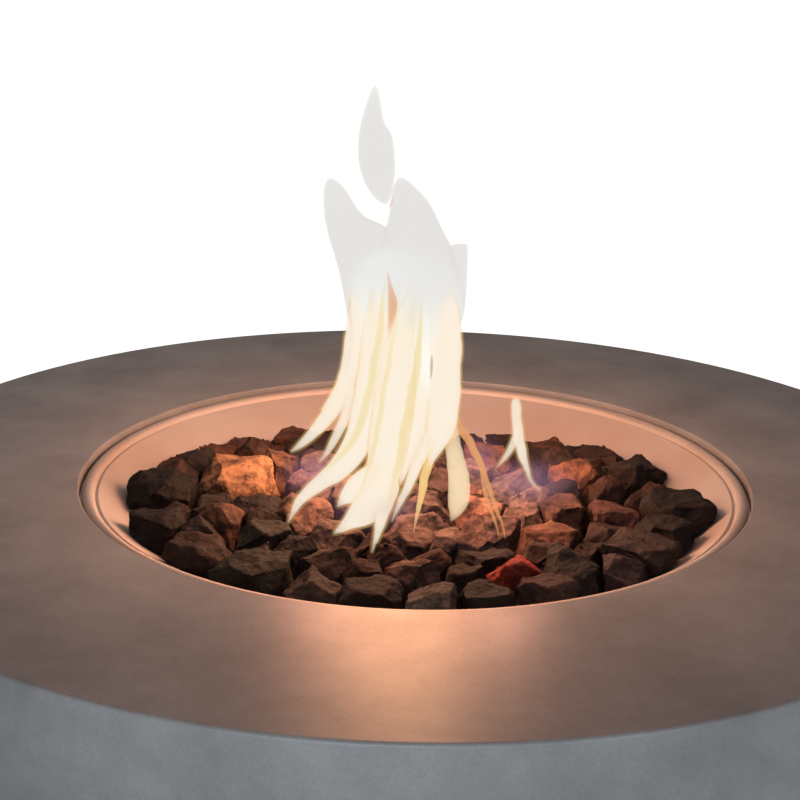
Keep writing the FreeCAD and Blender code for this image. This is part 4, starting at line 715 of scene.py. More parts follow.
class PanAndBurner(SubAssembly):
    """Spun pan on its gasket, the burner in it, and the mixer below."""

    DRESSINGS = (
        Dressing(Body.TABLE, Slot.STAINLESS_STEEL, HeatTintedSteel(), ("fire_pan",)),
        Dressing(Body.TABLE, Slot.GASKET_FIBRE, FIBRE, ("flange_gasket",)),
        Dressing(Body.TABLE, Slot.STAINLESS_STEEL, BrushedSteel(), ("burner",)),
        Dressing(Body.TABLE, Slot.ZINC_STEEL, ZINC, (
            "burner_nipple", "burner_locknuts")),
        Dressing(Body.TABLE, Slot.CAST_MIXER, CAST_IRON, ("mixer_tube",)),
        Dressing(Body.SHUTTER, Slot.STAINLESS_STEEL, BrushedSteel(), ("air_shutter",)),
        Dressing(Body.SHUTTER, Slot.BRASS, BRASS, ("shutter_screw",)),
    )


class GasSupply(SubAssembly):
    """Valve with its plug and stem, the fittings and the burner's pipe."""

    DRESSINGS = (
        Dressing(Body.TABLE, Slot.ALUMINIUM, ALUMINIUM, (
            "burner_gas_pipe", "valve_body")),
        Dressing(Body.TABLE, Slot.ZINC_STEEL, ZINC, (
            "valve_cap", "cap_screws", "valve_screws")),
        Dressing(Body.TABLE, Slot.BRASS, BRASS, (
            "orifice_fitting", "gas_pipe_nuts", "inlet_fitting")),
        Dressing(Body.PLUG, Slot.BRASS, BRASS, ("valve_plug",)),
        Dressing(Body.KNOB, Slot.STAINLESS_STEEL, BrushedSteel(), ("valve_stem",)),
    )


class Pilot(SubAssembly):
    """Pilot burner, flame sensor and spark electrode, with their pipe and leads."""

    DRESSINGS = (
        Dressing(Body.TABLE, Slot.STAINLESS_STEEL, BrushedSteel(), (
            "pilot_bracket", "pilot_screws", "pilot_burner", "thermocouple",
            "electrode_wire")),
        Dressing(Body.TABLE, Slot.ELECTRODE_CERAMIC, ALUMINA, ("electrode_insulator",)),
        Dressing(Body.TABLE, Slot.ALUMINIUM, ALUMINIUM, ("pilot_gas_pipe",)),
        Dressing(Body.TABLE, Slot.COPPER_LEAD, COPPER, ("thermocouple_lead",)),
        Dressing(Body.TABLE, Slot.LEAD_SLEEVE, SILICONE, ("ignition_lead",)),
        Dressing(Body.TABLE, Slot.BRASS, BRASS, ("pilot_nuts",)),
    )


@dataclass
class Controls(SubAssembly):
    """Front panel with the igniter and the knob, whose pointer groove holds paint."""

    paint_place: Triple = (30 * MM, -534.35 * MM, 335 * MM)
    paint_size: Triple = (1.9 * MM, 0.7 * MM, 10.9 * MM)
    rounding: float = 0.25 * MM
    rounding_steps: int = 2

    DRESSINGS = (
        Dressing(Body.TABLE, Slot.STAINLESS_STEEL, SATIN_PANEL, ("control_panel",)),
        Dressing(Body.TABLE, Slot.STAINLESS_STEEL, BrushedSteel(), ("panel_screws",)),
        Dressing(Body.TABLE, Slot.BRASS, BRASS, ("panel_inserts",)),
        Dressing(Body.TABLE, Slot.BLACK_PLASTIC, NYLON, (
            "igniter_body", "igniter_nut")),
        Dressing(Body.BUTTON, Slot.BLACK_PLASTIC, NYLON, ("igniter_button",)),
        Dressing(Body.KNOB, Slot.BLACK_PLASTIC, NYLON, ("control_knob",)),
    )

    def build(self, frame: dict) -> list[bpy.types.Object]:
        """Dress the controls and pour the paint into the knob's groove.


        Returns:
            The new pieces, with the knob last.
        """
        pieces = super().build(frame)
        deselect_all()
        bpy.ops.mesh.primitive_cube_add(
            size=1.0, location=self.paint_place, scale=self.paint_size)
        paint = bpy.context.object
        bpy.ops.object.mode_set(mode="EDIT")
        bpy.ops.mesh.select_all(action="SELECT")
        bpy.ops.mesh.bevel(offset=self.rounding, segments=self.rounding_steps)
        bpy.ops.object.mode_set(mode="OBJECT")
        bpy.ops.object.transform_apply(location=True, rotation=True, scale=True)
        paint.data.materials.append(material_of(PAINT))
        knob = pieces[-1]
        knob.select_set(True)
        bpy.context.view_layer.objects.active = knob
        bpy.ops.object.join()
        return pieces


# ---- the bed of lava stones ----------------------------------------------------------


@dataclass
class StoneBed:
    """Lava stones: each solid is weathered on its own and tinted by where it lies."""

    # Side of the cells that a stone is rebuilt from before it is roughened.
    voxel: float = 1.9 * MM
    chip_size: float = 26 * MM
    chip_depth: float = 7.0 * MM
    chip_level: float = 0.75
    lump_size: float = 9 * MM
    lump_depth: float = 3.2 * MM
    lump_level: float = 0.72
    lump_detail: int = 3
    pit_size: float = 4.0 * MM
    pit_depth: float = 1.3 * MM
    pit_level: float = 0.6
    rounding: int = 3
    rounding_share: float = 0.5
    seed: int = 5
    # A stone within this of a known place gets the colour known there.
    reach: float = 26 * MM
    # Stones nearer the middle than this get the lighter tones: painted firelight.
    firelit_reach: float = 125 * MM

    SECTORS = ("centre", "front", "right", "back", "left", "lower")
    COMMON = (
        "#291e1a", "#32231d", "#3b2820", "#231e1c", "#482f24", "#211b19", "#342621",
        "#503427", "#2d2624")
    # Stones close to the flame, given lighter and warmer tones where the flame's light
    # falls on them: painted firelight.
    FIRELIT_TONES = ("#5f534d", "#6d5b53", "#544641", "#7a5a4c", "#65504a")
    # Stones whose colour shows in the photo: x, y in millimetres and colour. These
    # colours are partly the stones' own and partly painted light: the near-black ones
    # at the front carry painted shade, the grey one at the front (18, -246) a painted
    # sheen, and the lighter ones near the flame painted firelight.
    KNOWN_TONE_AND_LIGHT = (
        (-176, 34, "#8e694c"), (-244, -8, "#1b1715"), (-184, -72, "#4e3629"),
        (-168, 112, "#3f2b22"), (-138, 74, "#5d4233"), (162, 63, "#6b4837"),
        (204, 66, "#2a201c"), (252, -38, "#221c1a"), (204, -138, "#3b312b"),
        (142, -176, "#292625"), (-190, -160, "#33261f"), (-232, -98, "#201b19"),
        (-136, -202, "#27261f"), (-82, -232, "#3d332d"), (-34, -243, "#211e1c"),
        (18, -246, "#5e5852"), (62, -240, "#282423"), (88, -190, "#8f3426"),
        (112, -222, "#40332f"), (178, -180, "#3a3030"), (-104, -55, "#6a5145"),
        (-138, -112, "#2d2d25"), (190, -40, "#4e342d"), (-72, -172, "#3a2d25"),
        (-4, -196, "#5a433a"), (122, -98, "#644334"), (140, -40, "#513a31"),
        (76, 112, "#5c4133"), (232, -88, "#241e1c"), (-60, 118, "#382a24"))

    def build(self, frame: dict) -> None:
        """Weather every stone and hand the sectors over.
        """
        material = material_of(LavaStone())
        rng = random.Random(self.seed)
        textures = self.textures()
        for sector in self.SECTORS:
            node = "lava_rocks_" + sector
            whole = own_copy(frame, node, node + "_piece")
            pick(whole)
            bpy.ops.object.mode_set(mode="EDIT")
            bpy.ops.mesh.separate(type="LOOSE")
            bpy.ops.object.mode_set(mode="OBJECT")
            stones = sorted(
                bpy.context.selected_objects, key=lambda stone: self.heart(stone)[:])
            for stone in stones:
                self.weather(stone, textures)
                self.tint(stone, rng)
            deselect_all()
            for stone in stones:
                stone.select_set(True)
            bpy.context.view_layer.objects.active = stones[0]
            bpy.ops.object.join()
            piece = bpy.context.object
            piece.name = node + "_piece"
            bpy.ops.object.shade_smooth()
            hand_over(piece, Body.TABLE, Slot.LAVA_ROCK, material, node)

    @staticmethod
    def heart(stone: bpy.types.Object) -> Vector:
        """Middle of a stone's corners."""
        corners = [vertex.co for vertex in stone.data.vertices]
        return sum(corners, Vector()) / len(corners)

    def textures(self) -> list[tuple[bpy.types.Texture, float, float]]:
        """Make the patterns that roughen a stone.

        Returns:
            Each pattern with its depth and the level of it that stays put.
        """
        chips = bpy.data.textures.new("chips", "VORONOI")
        chips.noise_scale = self.chip_size
        lumps = bpy.data.textures.new("lumps", "CLOUDS")
        lumps.noise_scale = self.lump_size
        lumps.noise_depth = self.lump_detail
        pits = bpy.data.textures.new("pits", "VORONOI")
        pits.noise_scale = self.pit_size
        return [
            (chips, self.chip_depth, self.chip_level),
            (lumps, self.lump_depth, self.lump_level),
            (pits, self.pit_depth, self.pit_level),
        ]

    def weather(
        self,
        stone: bpy.types.Object,
        textures: list[tuple[bpy.types.Texture, float, float]],
    ) -> None:
        """Round a stone's edges and rough up its faces, mostly inwards.

        Args:
            stone: one stone.
            textures: what textures() gives.
        """
        apply_modifier(stone, "REMESH", mode="VOXEL", voxel_size=self.voxel)
        apply_modifier(
            stone, "SMOOTH", factor=self.rounding_share, iterations=self.rounding)
        for texture, depth, level in textures:
            apply_modifier(
                stone, "DISPLACE", texture=texture, texture_coords="GLOBAL",
                strength=depth, mid_level=level)

    def tint(self, stone: bpy.types.Object, rng: random.Random) -> None:
        """Store the stone's colour as an attribute.

        Args:
            stone: one stone.
            rng: source of the common stones' colours.
        """
        middle = self.heart(stone)
        # Stones near the flame take lighter tones: painted firelight, not their own
        # colour.
        firelit = math.hypot(middle.x, middle.y) < self.firelit_reach
        colour = rng.choice(self.FIRELIT_TONES if firelit else self.COMMON)
        near = self.reach
        # Known colours mix the stones' own colour with painted shade, a painted sheen
        # and painted firelight.
        for x, y, known in self.KNOWN_TONE_AND_LIGHT:
            distance = math.hypot(middle.x - x * MM, middle.y - y * MM)
            if distance < near:
                near, colour = distance, known
        tint = stone.data.color_attributes.new(
            LavaStone.tint_attribute, "FLOAT_COLOR", "POINT")
        values = linear(colour) * len(stone.data.vertices)
        tint.data.foreach_set("color", values)


# ---- burning gas: stage --------------------------------------------------------------


def glowing(
    material: bpy.types.Material, colour: Value, density: Value
) -> bpy.types.Material:
    """Finish a material as gas that hides what is behind it and glows in its place.

    Args:
        material: a new material.
        colour: colour of a thick layer, as a value or a socket.
        density: how much one metre hides, as a value or a socket.

    Returns:
        The material.
    """
    hide = add_node(material, "ShaderNodeVolumeAbsorption", {
        "Color": (0.0, 0.0, 0.0, 1.0),
        "Density": density,
    })
    show = add_node(material, "ShaderNodeEmission", {
        "Color": colour,
        "Strength": density,
    })
    both = add_node(material, "ShaderNodeAddShader", {
        0: hide.outputs[0],
        1: show.outputs[0],
    })
    return finish_surface(material, both, "Volume")


@dataclass(frozen=True)
class Gas:
    """Glowing gas of one colour; a thin layer lets the view behind through."""

    name: str
    colour: str
    density: float

    def material(self) -> bpy.types.Material:
        """Build the volume material."""
        return glowing(new_material(self.name), linear(self.colour), self.density)


@dataclass(frozen=True)
class FlameBody:
    """The flame's body: cream with straw streaks below, a cool white above."""

    name: str = "flame_body"
    cream: str = "#fffbf0"
    straw: str = "#f3e9b8"
    white: str = "#edeeed"
    density: float = 260.0
    # Heights over the ground between which the cream turns white.
    turn: Pair = (0.565, 0.635)
    streak_wide: float = 10 * MM
    streak_long: float = 130 * MM
    streak_levels: Pair = (0.46, 0.62)
    # How fast the pattern changes from front to back: the streaks run through.
    depth_share: float = 0.1

    def material(self) -> bpy.types.Material:
        """Build the volume material: the streaks run up and straight through.

        Returns:
            The material.
        """
        material = new_material(self.name)
        place = add_node(material, "ShaderNodeTexCoord")
        stretch = add_node(material, "ShaderNodeMapping", {
            "Vector": place.outputs["Object"],
            "Scale": (1.0, self.depth_share, self.streak_wide / self.streak_long),
        })
        noise = add_node(material, "ShaderNodeTexNoise", {
            "Vector": stretch.outputs[0],
            "Scale": 1 / self.streak_wide,
            "Detail": 1.0,
        })
        lines = add_node(material, "ShaderNodeValToRGB", {"Fac": noise.outputs[0]})
        set_ramp(lines, list(zip(self.streak_levels, (self.cream, self.straw))))
        parts = add_node(material, "ShaderNodeSeparateXYZ", {
            "Vector": place.outputs["Object"]})
        rise = add_node(material, "ShaderNodeMapRange", {
            "Value": parts.outputs["Z"],
            "From Min": self.turn[0],
            "From Max": self.turn[1],
        }, interpolation_type="SMOOTHSTEP")
        colour = add_node(material, "ShaderNodeMix", {
            "Factor": rise.outputs[0],
            6: lines.outputs[0],
            7: linear(self.white),
        }, data_type="RGBA")
        return glowing(material, colour.outputs[2], self.density)


@dataclass(frozen=True)
class SoftHaze:
    """Thin violet gas that fades out from its middle."""

    name: str
    place: Triple
    half: Triple
    colour: str = "#a07690"
    thickest: float = 26.0

    def material(self) -> bpy.types.Material:
        """Build the volume material: its density falls to nothing at the edge.

        Returns:
            The material.
        """
        material = new_material(self.name)
        place = add_node(material, "ShaderNodeTexCoord")
        centred = add_node(material, "ShaderNodeVectorMath", {
            0: place.outputs["Object"],
            1: self.place,
        }, operation="SUBTRACT")
        unit = add_node(material, "ShaderNodeVectorMath", {
            0: centred.outputs[0],
            1: self.half,
        }, operation="DIVIDE")
        fade = add_node(material, "ShaderNodeTexGradient", {
            "Vector": unit.outputs[0]}, gradient_type="QUADRATIC_SPHERE")
        density = add_node(material, "ShaderNodeMath", {
            0: fade.outputs[1],
            1: self.thickest,
        }, operation="MULTIPLY")
        return glowing(material, linear(self.colour), density.outputs[0])


GasFinish = Gas | FlameBody | SoftHaze

# Colour of each gas, and how much of the view behind one metre of it hides.
TIP = Gas("flame_tip", "#eef2f4", 300.0)
FOOT = Gas("flame_foot", "#fffbf1", 165.0)
STRAW = Gas("straw_gas", "#f0dc9c", 130.0)
GOLD = Gas("gold_gas", "#f6cd86", 260.0)
AMBER = Gas("amber_gas", "#fde2b8", 85.0)
EMBER = Gas("ember_gas", "#e2a06c", 260.0)
BROWN_EDGE = Gas("brown_edge", "#8a5a41", 260.0)
TAN_EDGE = Gas("tan_edge", "#c3a078", 60.0)
ORANGE_EDGE = Gas("orange_edge", "#f5c475", 34.0)


@dataclass
class Flame:
    """Burning gas over the stones: broad tongues drawn ring by ring, and streams.

    A ring is its height over the table top, its left and right edge, and how far it
    stands from the table's middle plane (negative is nearer the front). A stream's
    point is its x, y, height over the table top and radius. All are millimetres.
    """

    top: float = 430 * MM
    # A tongue's depth as a share of its width, within the next two.
    flatness: float = 0.5
    thinnest: float = 0.5 * MM
    thickest: float = 26 * MM
    corners: int = 12
    smooth_steps: int = 2
    curve_steps: int = 6
    curve_order: int = 3
    round_steps: int = 5
    weld: float = 0.01 * MM
    # Thin coloured gas round the tips and the streams.
    tip_sheath: float = 0.8 * MM
    foot_sheath: float = 2.2 * MM
    # Unevenness of the streams.
    waver_size: float = 30 * MM
    waver_depth: float = 5 * MM
    haze_steps: int = 4
    waver: bpy.types.Texture = field(init=False)

    TIPS = {
        "blade": (
            (372, -44.9, -43.1, 0), (365, -48.4, -40.3, 0), (354, -51.9, -38.3, 0),
            (343, -55.5, -36.8, 0), (334, -57.2, -33.5, 0), (330, -58.1, -28.0, 0),
            (317, -59.4, -25.5, 0), (303, -58.8, -24.4, 0), (290, -55.9, -24.2, 0),
            (278, -50.3, -26.3, 0), (268, -42.8, -28.5, 0), (263, -34.4, -30.7, 0)),
        "horn": (
            (286, -86.3, -80.8, 0), (281, -89.0, -75.2, 0), (275, -90.4, -68.7, 0),
            (261, -90.4, -61.0, 0), (253, -89.9, -54.5, 0), (248, -89.4, -48.0, 0),
            (245, -88.9, -40.0, 0), (243, -88.4, -33.5, 0), (238, -87.6, -28.0, 0),
            (228, -85.2, -24.0, 0), (211, -79.5, -18.9, 0), (190, -73.8, -18.5, 0),
            (161, -68.9, -27.5, 0), (137, -63.1, -36.6, 0)),
        "crown": (
            (288, -21.0, -17.3, 0), (284, -24.6, -10.8, 0), (276, -27.2, -2.3, 0),
            (267, -28.4, 7.1, 0), (256, -29.4, 13.4, 0), (243, -31.4, 19.6, 0),
            (233, -38.0, 25.0, 0), (219, -54.3, 34.0, 0), (186, -56.0, 41.6, 0),
            (153, -46.2, 38.6, 0), (123, -31.7, 29.9, 0)),
        "corner": (
            (227, 35.5, 44.2, 0), (225, 26.0, 44.7, 0), (216, 20.5, 44.9, 0),
            (197, 16.5, 45.0, 0), (173, 15.0, 44.7, 0), (144, 15.0, 41.7, 0)),
    }
    BODY = {
        "body": (
            (229, -45.2, 18.1, 0), (215, -65.5, 32.4, 0), (196, -72.5, 41.3, 0),
            (172, -71.0, 43.8, 0), (143, -64.5, 41.7, 0), (113, -62.0, 39.6, 0),
            (83, -60.5, 37.0, -2), (62, -53.0, 31.0, -4), (47, -40.0, 22.0, -8),
            (39, -24.0, 8.0, -12)),
    }
    WEDGE = {
        "spark": (
            (270, -26.6, -25.5, -3), (265, -28.4, -25.7, -3), (260, -30.4, -28.4, -3)),
        "wedge": (
            (207, -30.1, -28.9, -26), (192, -29.2, -25.1, -26),
            (178, -29.0, -18.4, -26), (167, -28.9, -19.6, -26),
            (153, -28.7, -23.1, -26), (135, -28.0, -26.1, -26)),
    }
    LICKS = {
        "thin_wedge": (
            (201, -7.7, -6.3, -26), (188, -12.6, -8.9, -26), (178, -16.1, -11.5, -26),
            (168, -17.8, -15.9, -26)),
    }
    SOOT = {
        "edge": (
            (176, -65.4, -64.1, -6), (161, -65.4, -61.2, -6), (141, -64.8, -60.1, -6),
            (122, -66.5, -61.3, -6), (106, -67.9, -64.6, -6), (96, -68.3, -67.1, -6)),
        "olive": (
            (128, 11.8, 14.1, -28), (115, 11.6, 15.3, -28), (102, 11.8, 13.2, -28)),
    }
    STREAMS = {
        "left_one": (
            (-60, -8, 192, 0.7), (-58, -8, 171, 6.5), (-58, -8, 139, 10.4),
            (-63, -8, 109, 9.5), (-70, -8, 85, 9.0), (-80, -8, 65, 8.1),
            (-94, -10, 47, 6.2), (-109, -12, 31, 3.8), (-120, -12, 23, 1.0)),
        "left_tip": (
            (-71, -6, 104, 0.5), (-73, -8, 92, 2.8), (-78, -8, 79, 4.8),
            (-87, -8, 63, 4.8)),
        "left_two": (
            (-58, -8, 103, 0.8), (-59, -10, 84, 6.6), (-65, -14, 67, 5.7),
            (-72, -18, 50, 4.8), (-79, -20, 35, 3.8), (-85, -20, 24, 2.2),
            (-91, -22, 18, 0.8)),
        "sweep": (
            (-39, -12, 197, 0.7), (-36, -13, 175, 10.3), (-35, -14, 151, 15.0),
            (-37, -16, 127, 16.9), (-40, -20, 94, 17.0), (-45, -28, 72, 16.0),
            (-53, -42, 46, 14.1), (-69, -58, 24, 11.2), (-88, -75, 15, 7.4),
            (-103, -88, 6, 5.0), (-110, -98, -3, 3.0), (-115, -106, -13, 0.7)),
        "foot": (
            (-15, -16, 185, 0.7), (-18, -18, 162, 9.3), (-19, -20, 140, 14.9),
            (-20, -28, 102, 17.8), (-23, -45, 63, 18.7), (-28, -72, 36, 16.6),
            (-34, -98, 19, 15.5), (-41, -118, 9, 15.3), (-51, -128, 3, 11.7),
            (-59, -135, -1, 6.3), (-70, -142, -7, 0.8)),
        "foot_strand": (
            (-19, -60, 24, 0.7), (-22, -85, 17, 8.3), (-26, -108, 10, 8.2),
            (-30, -130, 3, 5.8), (-33, -150, -5, 3.5), (-37, -166, -16, 0.5)),
        "middle": (
            (16, -16, 79, 0.8), (15, -20, 60, 6.6), (11, -32, 46, 7.5),
            (4, -52, 35, 6.5), (-2, -78, 26, 5.1), (-8, -102, 19, 3.8),
            (-14, -120, 11, 2.3), (-20, -132, 1, 0.5)),
        "swell": (
            (24, -10, 192, 0.7), (26, -12, 171, 10.3), (27, -12, 152, 13.1),
            (28, -12, 137, 14.1), (27, -14, 93, 14.2), (24, -20, 68, 16.1),
            (22, -30, 52, 13.2), (18, -42, 40, 7.5), (14, -55, 30, 2.8),
            (11, -62, 23, 0.7)),
        "foot_bulge": (
            (-35, -84, 34, 7.3), (-45, -98, 27, 11.8), (-54, -110, 21, 11.8),
            (-61, -118, 18, 8.1), (-65, -124, 16, 4.5), (-69, -128, 12, 0.8)),
        "fill": (
            (-8, -8, 145, 3.8), (-6, -10, 106, 15.1), (-5, -18, 69, 17.1),
            (-8, -40, 47, 13.1), (-11, -66, 31, 7.4), (-14, -92, 21, 0.9)),
        "small": (
            (95, -5, 80, 3.3), (96, -5, 76, 5.0), (96, -8, 63, 4.4), (97, -14, 50, 5.0),
            (99, -22, 39, 4.8), (102, -40, 31, 3.6), (106, -56, 23, 2.2),
            (111, -66, 15, 1.1), (116, -70, 9, 0.5)),
        "small_foot": (
            (96, -12, 55, 0.8), (95, -16, 44, 3.6), (91, -26, 36, 3.1),
            (84, -36, 29, 2.1), (77, -44, 24, 0.5)),
    }
    STRAW_STREAMS = {
        "straw": (
            (-31, -29, 201, 0.7), (-34, -33, 170, 3.2), (-38, -36, 137, 3.7),
            (-43, -42, 100, 4.2), (-50, -52, 67, 4.2), (-64, -68, 43, 3.7),
            (-83, -82, 30, 1.4)),
        "straw_two": (
            (4, -28, 179, 0.7), (2, -30, 151, 3.2), (-1, -34, 118, 4.2),
            (-6, -48, 88, 4.6), (-11, -70, 61, 4.6), (-16, -100, 38, 3.6),
            (-22, -126, 18, 1.3)),
        "straw_three": (
            (-19, -30, 179, 0.6), (-24, -38, 143, 2.3), (-29, -50, 108, 2.8),
            (-34, -70, 71, 3.2), (-42, -104, 41, 2.7), (-51, -130, 19, 0.7)),
    }
    GOLD_STREAMS = {
        "middle_two": (
            (19, -18, 65, 0.8), (18, -26, 47, 4.7), (14, -45, 31, 4.7),
            (9, -74, 19, 4.1), (5, -104, 11, 3.1), (2, -126, 4, 1.8),
            (-1, -142, -6, 0.4)),
    }
    EMBER_STREAMS = {
        "right_three": (
            (37, -8, 61, 0.6), (50, -22, 46, 2.8), (58, -45, 35, 2.3),
            (62, -72, 26, 2.0), (66, -102, 14, 2.0), (72, -128, 0, 1.6),
            (77, -142, -12, 0.4)),
        "right_one": (
            (33, -6, 76, 0.8), (39, -12, 54, 4.3), (51, -24, 40, 3.8),
            (61, -50, 30, 2.8), (67, -80, 21, 2.3), (74, -108, 8, 2.3),
            (82, -142, -10, 0.5)),
    }
    AMBER_STREAMS = {
        "right_two": (
            (30, -12, 74, 0.8), (32, -18, 56, 6.6), (35, -34, 41, 7.5),
            (39, -60, 31, 8.4), (41, -84, 22, 10.6), (40, -102, 13, 10.9),
            (37, -114, 5, 7.2), (33, -124, -1, 1.1)),
    }
    # Violet gas low over the stones: place and half size in metres.
    HAZE = (
        ((-0.090, -0.040, 0.442), (0.050, 0.060, 0.026)),
        ((-0.035, -0.115, 0.436), (0.060, 0.045, 0.020)),
        ((0.105, -0.050, 0.442), (0.062, 0.060, 0.026)),
        ((0.060, -0.030, 0.456), (0.034, 0.034, 0.034)),
    )

    def build(self) -> None:
        """Make every tongue, stream and haze as stage."""
        self.waver = bpy.data.textures.new("waver", "CLOUDS")
        self.waver.noise_scale = self.waver_size
        for tongues, gas in (
            (self.TIPS, TIP), (self.BODY, FlameBody()), (self.WEDGE, EMBER),
            (self.LICKS, STRAW), (self.SOOT, BROWN_EDGE),
        ):
            for name, rings in tongues.items():
                self.tongue("flame_" + name, rings, gas)
        for streams, gas in (
            (self.STREAMS, FOOT), (self.STRAW_STREAMS, STRAW),
            (self.GOLD_STREAMS, GOLD), (self.EMBER_STREAMS, EMBER),
            (self.AMBER_STREAMS, AMBER),
        ):
            for name, path in streams.items():
                self.stream("flame_" + name, path, gas)
        for name, rings in self.TIPS.items():
            edge = self.tongue("edge_" + name, rings, TAN_EDGE)
            apply_modifier(edge, "DISPLACE", strength=self.tip_sheath, mid_level=0.0)
        for name, path in self.STREAMS.items():
            edge = self.stream("edge_" + name, path, ORANGE_EDGE)
            apply_modifier(edge, "DISPLACE", strength=self.foot_sheath, mid_level=0.0)
        for number, (place, half) in enumerate(self.HAZE):
            self.haze(SoftHaze(f"violet_haze_{number}", place, half))

    def haze(self, gas: SoftHaze) -> None:
        """Make the ball that holds a haze, squashed to the haze's size.

        Args:
            gas: the haze.
        """
        deselect_all()
        bpy.ops.mesh.primitive_ico_sphere_add(
            subdivisions=self.haze_steps, radius=1.0, location=gas.place)
        bpy.ops.object.mode_set(mode="EDIT")
        bpy.ops.mesh.select_all(action="SELECT")
        bpy.ops.transform.resize(value=gas.half, center_override=gas.place)
        bpy.ops.object.mode_set(mode="OBJECT")
        self.finish(bpy.context.object, gas.name, gas)

    def tongue(
        self, name: str, rings: tuple[Quad, ...], gas: GasFinish
    ) -> bpy.types.Object:
        """Draw one tongue: a ring is extruded from the one before, then resized.

        Args:
            name: the object's name.
            rings: its rings, from the top down.
            gas: its gas.

        Returns:
            The stage object.
        """
        deselect_all()
        centre, half = self.measure(rings[0])
        bpy.ops.mesh.primitive_circle_add(
            vertices=self.corners, radius=half[0], fill_type="NGON", location=centre)
        bpy.ops.object.mode_set(mode="EDIT")
        bpy.ops.mesh.select_all(action="SELECT")
        bpy.ops.transform.resize(
            value=(1.0, half[1] / half[0], 1.0), center_override=centre)
        for ring in rings[1:]:
            next_centre, next_half = self.measure(ring)
            bpy.ops.mesh.extrude_region_move(
                TRANSFORM_OT_translate={"value": next_centre - centre})
            bpy.ops.transform.resize(
                value=(next_half[0] / half[0], next_half[1] / half[1], 1.0),
                center_override=next_centre)
            centre, half = next_centre, next_half
        bpy.ops.mesh.select_all(action="SELECT")
        bpy.ops.mesh.normals_make_consistent(inside=False)
        bpy.ops.object.mode_set(mode="OBJECT")
        tongue = bpy.context.object
        apply_modifier(
            tongue, "SUBSURF", levels=self.smooth_steps,
            render_levels=self.smooth_steps)
        return self.finish(tongue, name, gas)

    def measure(self, ring: Quad) -> tuple[Vector, Pair]:
        """Work out where a ring lies and how large it is.

        Args:
            ring: one ring.

        Returns:
            Its centre, and half its width and depth.
        """
        height, left, right, y = (number * MM for number in ring)
        half = (right - left) / 2
        depth = min(half * self.flatness + self.thinnest, self.thickest)
        return Vector(((left + right) / 2, y, self.top + height)), (half, depth)

    def stream(
        self, name: str, path: tuple[Quad, ...], gas: GasFinish
    ) -> bpy.types.Object:
        """Draw one stream as a smooth curve that swells and thins, then make it solid.

        Args:
            name: the object's name.
            path: its points, from the top down.
            gas: its gas.

        Returns:
            The stage object.
        """
        curve = bpy.data.curves.new(name, "CURVE")
        curve.dimensions = "3D"
        curve.bevel_depth = MM
        curve.bevel_resolution = self.round_steps
        curve.use_fill_caps = True
        spline = curve.splines.new("NURBS")
        spline.points.add(len(path) - 1)
        for point, (x, y, height, radius) in zip(spline.points, path):
            point.co = (x * MM, y * MM, self.top + height * MM, 1.0)
            point.radius = radius
        spline.order_u = self.curve_order
        spline.resolution_u = self.curve_steps
        spline.use_endpoint_u = True
        stream = bpy.data.objects.new(name, curve)
        bpy.context.collection.objects.link(stream)
        pick(stream)
        bpy.ops.object.convert(target="MESH")
        bpy.ops.object.mode_set(mode="EDIT")
        bpy.ops.mesh.select_all(action="SELECT")
        bpy.ops.mesh.remove_doubles(threshold=self.weld)
        bpy.ops.mesh.normals_make_consistent(inside=False)
        bpy.ops.object.mode_set(mode="OBJECT")
        stream = bpy.context.object
        for axis in ("X", "Z"):
            apply_modifier(
                stream, "DISPLACE", texture=self.waver, texture_coords="GLOBAL",
                direction=axis, space="GLOBAL", strength=self.waver_depth,
                mid_level=0.5)
        return self.finish(stream, name, gas)

    def finish(
        self, shape: bpy.types.Object, name: str, gas: GasFinish
    ) -> bpy.types.Object:
        """Name a part of the flame, fill it with gas and take it out of the lighting.

        Args:
            shape: the object.
            name: its name.
            gas: its gas.

        Returns:
            The object, now stage.
        """
        pick(shape)
        bpy.ops.object.transform_apply(location=True, rotation=True, scale=True)
        bpy.ops.object.shade_smooth()
        shape.name = name
        shape.data.materials.append(material_of(gas))
        shape.visible_diffuse = False
        shape.visible_glossy = False
        shape.visible_shadow = False
        LOG.info("%s: stage, %d faces", name, len(shape.data.polygons))
        return shape


# ---- floor, lamps, camera ------------------------------------------------------------


@dataclass(frozen=True)
class SoftBox:
    """Rectangular lamp that shines from a place towards another."""

    name: str
    place: Triple
    target: Triple
    size: Pair
    watts: float
    colour: str = "#ffffff"

    def build(self) -> None:
        """Make the lamp; the camera doesn't see it."""
        lamp = bpy.data.lights.new(self.name, "AREA")
        lamp.shape = "RECTANGLE"
        lamp.size, lamp.size_y = self.size
        lamp.energy = self.watts
        lamp.color = linear(self.colour)[:3]
        obj = bpy.data.objects.new(self.name, lamp)
        bpy.context.collection.objects.link(obj)
        obj.location = self.place
        aim = Vector(self.target) - Vector(self.place)
        obj.rotation_euler = aim.to_track_quat("-Z", "Y").to_euler()
        obj.visible_camera = False
        LOG.info("%s: lamp of %.2f W", self.name, self.watts)


